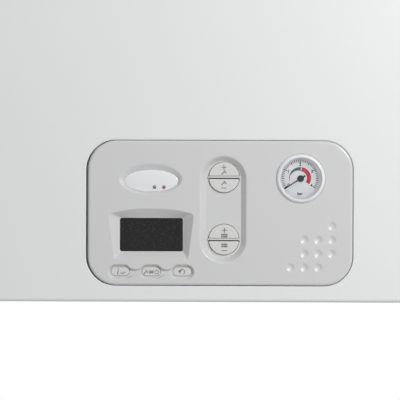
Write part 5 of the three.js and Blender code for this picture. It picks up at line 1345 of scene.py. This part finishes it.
class BOILER_OT_pump(bpy.types.Operator):
    """Pump body with its air vent, pump motor and diverter motor"""
    bl_idname = "boiler.pump"
    bl_label = "Pump and motors"

    def execute(self, context):
        corners = [(PUMP[0] + x, PUMP[1] + z) for x in (-31, 31) for z in (-31, 31)]
        vent = (141, WATER_Y)
        stand_in(
            "pump_body",
            facing_out(PUMP, [
                (27, -83), (29.4, -84.2), (33.4, -87), (38, -91.2), (41, -95), (42, -98.4), (42, -118.4),
                (41.2, -121.4), (36.6, -131), (35.4, -132.8), (TIP, -133)], 72),
            upright((112, WATER_Y), [(17, -509.5), (18.2, -508.8), (18.2, -503.6), (16, -502), (16, -470)]),
            upright((82, WATER_Y), [(11, -455), (11, -414), (12.6, -413), (12.6, -405.8), (12, -405)]),
            upright(vent, [(5.4, -455), (5.4, -418), (6.4, -416), (6.4, -414)], 28),
            *[facing_out(place, [(6.4, -104), (6.4, -130.4), (5.8, -131)], 28) for place in corners])
        extra("air_vent", "brass", upright(vent, [
            (8.4, -415), (9, -414.2), (9, -398), (8.4, -397.4), (8.4, -396.4), (9, -395.8), (9, -394.4),
            (8.2, -393.5), (3, -393.5), (3, -389.4), (2.6, -389)], 36))
        bolt = facing_out((0, 0), [
            (TIP, -1.6), (2.2, -1.6), (2.2, -4.4), (3.8, -4.4), (4.2, -4), (4.2, 0)], 24)
        extra("pump_bolts", "bright_zinc", copies(bolt, [(x, -131, z) for x, z in corners]))
        motor = facing_out(PUMP, [
            (37, -133.3), (38, -134.2), (38, -147), (36.8, -147.8), (36.8, -149.6), (38, -150.4), (38, -181.6),
            (37.2, -184.6), (34.4, -189.6), (33.44, -192), (33.44, -199.4), (32.6, -200.8), (30.8, -201.3),
            (10.6, -201.3), (9.5, -200.5), (9.5, -198.9)], 72)
        stand_in("pump_motor", motor, *[
            put(bar(rounded(37.6, -166, 3.2, 24, 0.8, 2), -0.9, 0.9, "z"), (PUMP[0], 0, PUMP[1]), turn, "y")
            for turn in range(0, 360, 15)])
        plug = facing_out(PUMP, [(7.8, -198.5), (7.8, -200.2), (7.2, -200.8)], 36)
        slot = plate("slot", (PUMP[0] * MM, -199.8 * MM, PUMP[1] * MM), 12 * MM, 1.6 * MM)
        extra("pump_plug", "bright_zinc", without(plug, prism(slot, (0, -3 * MM, 0))))
        stand_in("diverter_motor", upright((-112, WATER_Y), [
            (19, -509.5), (20, -508.7), (20, -500.8), (19.2, -499.6), (16, -496.4), (16, -495.2), (18, -491.2),
            (18, -478), (17.2, -477.4), (17.2, -476), (18, -475.4), (18, -456), (17.2, -453.4), (14.4, -450),
            (13.2, -449.5)], 48))
        return {"FINISHED"}


class BOILER_OT_pipes(bpy.types.Operator):
    """Expansion vessel, water pipes with their union nuts, and the condensate trap with its hose"""
    bl_idname = "boiler.pipes"
    bl_label = "Vessel, pipes and trap"

    def execute(self, context):
        soften("casing", expansion_vessel=0.5)
        for node, bend, radius, points in (
                ("flow_pipe", 14, 9, [(-80, -108, -503.5), (-80, -108, -377), (-80, -108, -250.8)]),
                ("return_pipe", 18, 9, [
                    (82, -108, -404.7), (82, -108, -376.7), (0, -108, -348.7), (0, -108, -250.8)]),
                ("vessel_pipe", 18, 5, [
                    (112, -39.5, -522.5), (112, -39.5, -494.5), (70, -39.5, -466.5), (70, -39.5, -370.8)])):
            stand_in(node, pipe(points, bend, radius))
        nuts = [
            nut((x, WATER_Y), low, low + 11, 13.6)
            for x, low in ((-80, -502.6), (-80, -262.6), (82, -403.8), (0, -262.6))]
        nuts += [nut((x, REAR_Y), low, low + 8, 8.6) for x, low in ((112, -521.6), (70, -380.6))]
        extra("pipe_nuts", "brass", *nuts)
        trap = upright((-172, WATER_Y), [
            (TIP, -594.7), (6, -594.7), (6, -627), (6.4, -627.5), (8.6, -627.5), (9, -627), (9, -595),
            (9.6, -593.6), (17.8, -593.5), (18.9, -592.6), (20.8, -584.4), (21, -582), (21, -546),
            (20.2, -545.4), (20.2, -543), (21, -542.4), (21, -477), (20.2, -472.6), (13.6, -460),
            (12.6, -456.6), (12.6, -445), (11.8, -443.5)], 48)
        hose = pipe([
            (-172, -108, -450), (-172, -108, -380.5), (-172, -142, -359.5), (-40, -142, -292.5),
            (-40, -142, -250.8)], 16, 6.2, rings=0.13)
        stand_in("condensate_trap", trap, hose)
        return {"FINISHED"}


def lobed_knob(node, body, centre, radius, low):
    """A knob with eight lobes and a dished end, on its spindle."""
    turns = [math.tau * step / 96 for step in range(96)]
    lobes = [(turn, 0.94 + 0.06 * math.cos(8 * turn)) for turn in turns]
    grip = solid_of("grip", [[
        [((centre[0] + radius * share * lobe * math.cos(turn)) * MM,
          (centre[1] + radius * share * lobe * math.sin(turn)) * MM, (low + rise) * MM)
         for turn, lobe in lobes]
        for share, rise in (
            (0.5, 1.6), (0.6, 1.5), (0.68, 0.5), (0.78, 0), (0.9, 0.1), (0.97, 0.7), (1, 1.8), (1, 12),
            (0.97, 13.6), (0.88, 14.7), (0.7, 15))]])
    spindle = upright(centre, [(3.5, low + 12), (3.5, low + 23.6), (3.1, low + 24)], 24)
    stand_in(node, grip, spindle, body=body, angle=30)


class BOILER_OT_valves(bpy.types.Operator):
    """Safety valve, filling tap and their knobs"""
    bl_idname = "boiler.valves"
    bl_label = "Valves and knobs"

    def execute(self, context):
        stand_in(
            "safety_valve", across([(10.4, 150.3), (11, 151), (11, 168)]),
            upright(VALVE_PLACE, [
                (TIP, -592), (3.8, -592), (3.8, -601), (8.2, -601), (8.7, -600.5), (8.7, -593.6),
                (12.4, -593.5), (13.2, -592.7), (13.2, -562), (11.6, -560.6), (11.6, -556), (13.2, -554.6),
                (13.2, -530.6), (12.4, -527.6), (10.2, -526.3)], 44))
        lobed_knob("safety_valve_knob", "relief_knob", VALVE_PLACE, 15, -616.3)
        tap = upright(TAP_PLACE, [
            (TIP, -608.3), (3.8, -608.3), (3.8, -617.3), (8.5, -617.3), (9.1, -616.7), (9.1, -607),
            (8.3, -606.2), (8.3, -599), (6.7, -598), (6.7, -588.4), (6.2, -587.8)], 36)
        stand_in("filling_tap", tap, nut(TAP_PLACE, -603.3, -595.3, 12), angle=30)
        lobed_knob("filling_tap_knob", "fill_knob", TAP_PLACE, 13, -632.6)
        return {"FINISHED"}


class BOILER_OT_control_box(bpy.types.Operator):
    """Control box behind the panel, its circuit board and the gauge's body"""
    bl_idname = "boiler.control_box"
    bl_label = "Control box"

    def execute(self, context):
        soften("casing", control_box=0.6, circuit_board=0.15, gauge_body=0.4)
        return {"FINISHED"}


# Front cover

SHEET = 1.2
RIM_DEPTH, NEAR = 30 * MM, 0.1 * MM


def opening_outline(grow):
    """The cover's cut-out for the panel, grown outwards and most of all upwards."""
    return rounded(-0.35, grow * 0.7 - 0.35, 227.3 + grow * 2, 124 + grow * 3.4, 25.4 + grow, 22)


def round_where(piece, wanted, radius, segments):
    """Rounds the edges whose two ends the test accepts."""
    edit(piece, "EDGE", "DESELECT")
    to_mode("OBJECT")
    for edge in piece.data.edges:
        edge.select = wanted(*[piece.data.vertices[index].co for index in edge.vertices])
    to_mode("EDIT")
    bpy.ops.mesh.bevel(offset=radius * MM, segments=segments, profile=0.5, affect="EDGES", clamp_overlap=True)
    done(piece)


class BOILER_OT_cover(bpy.types.Operator):
    """Front cover: a deep-drawn pan with a lipped opening for the panel, and two hook tongues"""
    bl_idname = "boiler.cover"
    bl_label = "Front cover"

    def execute(self, context):
        low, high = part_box("front_cover")
        front, rear = low.y, low.y + RIM_DEPTH
        deselect()
        bpy.ops.mesh.primitive_cube_add(size=1, location=(0, (front + rear) / 2, (low.z + high.z) / 2))
        pan = named("cover_pan")
        pan.scale = (high.x - low.x, rear - front, high.z - low.z)
        done(pan)
        round_where(pan, lambda a, b: abs(a.z - b.z) > 0.1 and a.y < rear - 10 * NEAR, 10, 12)
        edit(pan, "FACE", "DESELECT")
        to_mode("OBJECT")
        for face in pan.data.polygons:
            face.select = face.normal.y > 0.9
        to_mode("EDIT")
        bpy.ops.mesh.delete(type="FACE")
        done(pan)

        def on_rim(a, b):
            level = abs(a.z - b.z) < NEAR and min(abs(a.z - low.z), abs(a.z - high.z)) < NEAR
            return level and (a.y + b.y) / 2 < rear - NEAR

        round_where(pan, on_rim, 3.4, 8)
        modify(pan, "SOLIDIFY", thickness=SHEET * MM, offset=-1, use_even_offset=True, use_rim=True)
        without(pan, layered("cut_out", [(opening_outline(0.8), front + deep * MM) for deep in (-2, 8)]))
        lip = [(0.8 * (1 - math.sin(turn)), 0.8 * (1 - math.cos(turn))) for turn in quarter(7)]
        collar = solid_of("opening_lip", [[
            [at(x, z, front + deep * MM) for x, z in opening_outline(grow)]
            for grow, deep in [*lip, (0, 5), (0.7, 5), (0.8, 4.8), (0.8, SHEET)]]], True)
        hook = [(-222, 45), (-205.9, 45), (-205.3, 44.7), (-205, 44.1), (-205, 35.8), (-206.2, 35.8),
                (-206.2, 43.8), (-222, 43.8)]
        tongues = [bar(hook, middle - 30, middle + 30) for middle in (-120, 120)]
        shell = joined("cover_shell", [pan, collar, *tongues])
        dress(shell, "casing_paint", "cover", "front_cover", angle=40)
        return {"FINISHED"}


# Studio and camera

def studio_white(name):
    """A pale matt floor that shows white to the camera and still takes the object's shadow."""
    finish = Finish(name)
    grain = finish.noise(30.0)
    finish.set("Base Color", finish.mixed(grain, (0.80, 0.80, 0.80, 1), (0.84, 0.84, 0.84, 1)))
    finish.set("Roughness", grain * 0.05 + 0.8)
    finish.set("Emission Color", (1, 1, 1, 1))
    finish.set("Emission Strength", (finish.ray("Camera") + finish.ray("Glossy")) * 0.66)
    return finish.material


def set_world(brightness):
    """Grey light from all round, and white where the camera, gloss or glass looks past the stage."""
    world = bpy.data.worlds.new("studio")
    bpy.context.scene.world = world
    nodes = Nodes(world)
    seen = nodes.node("ShaderNodeMath", {"operation": "ADD", "use_clamp": True}, [
        nodes.ray("Camera"), nodes.ray("Glossy") + nodes.ray("Transmission")])
    back = nodes.tree.nodes["Background"].inputs
    nodes.feed(back["Color"], (1, 1, 1, 1))
    nodes.feed(back["Strength"], nodes.node("ShaderNodeMapRange", {}, {
        "Value": seen, "To Min": brightness, "To Max": 1.0}))


def lamp(name, place, aim, width, height, power):
    light = bpy.data.lights.new(name, "AREA")
    light.shape = "RECTANGLE"
    light.size, light.size_y = width, height
    light.energy = power
    holder = placed(name, light)
    holder.location = place
    holder.rotation_euler = (Vector(aim) - Vector(place)).to_track_quat("-Z", "Y").to_euler()


class BOILER_OT_stage(bpy.types.Operator):
    """Floor, soft lamps, surroundings and the camera at the photographed angle"""
    bl_idname = "boiler.stage"
    bl_label = "Stage and camera"

    def execute(self, context):
        settings = context.scene.boiler
        floor = plate("floor", (0, 0, settings.floor_height), 24, 24, "+z")
        floor.data.materials.append(studio_white("floor_white"))
        set_world(settings.surround)
        lamp("key_lamp", (0.78, -1.25, 0.0), (0.0, -0.25, -0.56), 0.3, 0.3, settings.key_power)
        lamp("fill_lamp", (-0.7, -1.7, -1.5), (0.0, -0.15, -0.45), 1.2, 0.8, settings.fill_power)
        lamp("back_lamp", (0.6, 2.2, 1.2), (0.0, -0.1, -0.3), 1.6, 1.6, settings.back_power)
        camera = bpy.data.cameras.new("camera")
        camera.lens = settings.lens
        camera.sensor_width = 36
        camera.clip_start = 0.01
        holder = placed("camera", camera)
        distance = settings.view_width * camera.lens / camera.sensor_width
        holder.location = (settings.view_x, FRONT - distance, settings.view_z)
        holder.rotation_euler = (QUARTER, math.radians(settings.view_roll), 0)
        context.scene.camera = holder
        context.scene.view_settings.view_transform = "Standard"
        return {"FINISHED"}


# Settings, panel and registration

def colour(name, description, *default):
    return bpy.props.FloatVectorProperty(
        name=name, description=description, subtype="COLOR", min=0, max=1, default=default)


def number(name, description, default, **limits):
    return bpy.props.FloatProperty(name=name, description=description, default=default, **limits)


class BoilerSettings(bpy.types.PropertyGroup):
    """Colours and sizes of the boiler's visible surfaces, and its studio"""
    casing_colour: colour("Casing", "Enamel of the casing", 0.790, 0.797, 0.800)
    panel_colour: colour("Panel", "Plastic of the control panel", 0.635, 0.636, 0.639)
    key_colour: colour("Keys", "Plastic of the keys", 0.665, 0.665, 0.652)
    recess_lip: number(
        "Recess lip", "Rounding where a recess meets the panel", 1.3 * MM, unit="LENGTH", min=0.2 * MM,
        max=3 * MM)
    view_x: number("View across", "Middle of the view, across", -0.0171, unit="LENGTH")
    view_z: number("View height", "Middle of the view, upwards", -0.568, unit="LENGTH")
    view_roll: number("View roll", "Turn of the camera about its view, in degrees", -0.22)
    view_width: number("View width", "Width seen at the front cover", 0.340, unit="LENGTH")
    lens: number("Lens", "Focal length of the camera in millimetres", 110.0, min=20)
    floor_height: number("Floor", "Height of the floor below the bracket", -2.9, unit="LENGTH")
    surround: number("Surround", "Brightness of the light from all round", 0.415, min=0)
    key_power: number("Key lamp", "Power of the key lamp in watts", 11.9, min=0)
    fill_power: number("Fill lamp", "Power of the fill lamp in watts", 2.5, min=0)
    back_power: number("Back lamp", "Power of the lamp behind in watts", 8.0, min=0)


class BOILER_OT_finishes(bpy.types.Operator):
    """Make the finishes and give each piece of the frame its own"""
    bl_idname = "boiler.finishes"
    bl_label = "Finishes"

    def execute(self, context):
        MATERIALS.update(make_finishes(context.scene.boiler))
        for entry in frame["record"]["subparts"]:
            materials = frame["nodes"][entry["node"]].data.materials
            materials.clear()
            materials.append(MATERIALS[entry["material_slot"]])
        return {"FINISHED"}


OPERATORS = (
    BOILER_OT_finishes, BOILER_OT_fascia, BOILER_OT_round_keys, BOILER_OT_small_keys, BOILER_OT_badge,
    BOILER_OT_gauge, BOILER_OT_cover, BOILER_OT_shell, BOILER_OT_flue, BOILER_OT_heat_exchanger,
    BOILER_OT_burner_door, BOILER_OT_fan, BOILER_OT_gas_side, BOILER_OT_stubs, BOILER_OT_manifolds,
    BOILER_OT_plates, BOILER_OT_pump, BOILER_OT_pipes, BOILER_OT_valves, BOILER_OT_control_box,
    BOILER_OT_stage,
)


class BOILER_PT_panel(bpy.types.Panel):
    """The boiler's groups of pieces, in the sidebar of the 3D view"""
    bl_idname = "BOILER_PT_panel"
    bl_label = "Gas boiler"
    bl_space_type = "VIEW_3D"
    bl_region_type = "UI"
    bl_category = "Boiler"

    def draw(self, context):
        for name in ("casing_colour", "panel_colour", "key_colour", "recess_lip", "lens", "surround"):
            self.layout.prop(context.scene.boiler, name)
        for operator in OPERATORS:
            self.layout.operator(operator.bl_idname)


CLASSES = (BoilerSettings, *OPERATORS, BOILER_PT_panel)


def register():
    for made in CLASSES:
        bpy.utils.register_class(made)
    bpy.types.Scene.boiler = bpy.props.PointerProperty(type=BoilerSettings)


def unregister():
    del bpy.types.Scene.boiler
    for made in reversed(CLASSES):
        bpy.utils.unregister_class(made)


def main():
    register()
    for operator in OPERATORS:
        getattr(bpy.ops.boiler, operator.bl_idname.split(".")[1])()


if __name__ == "__main__":
    main()
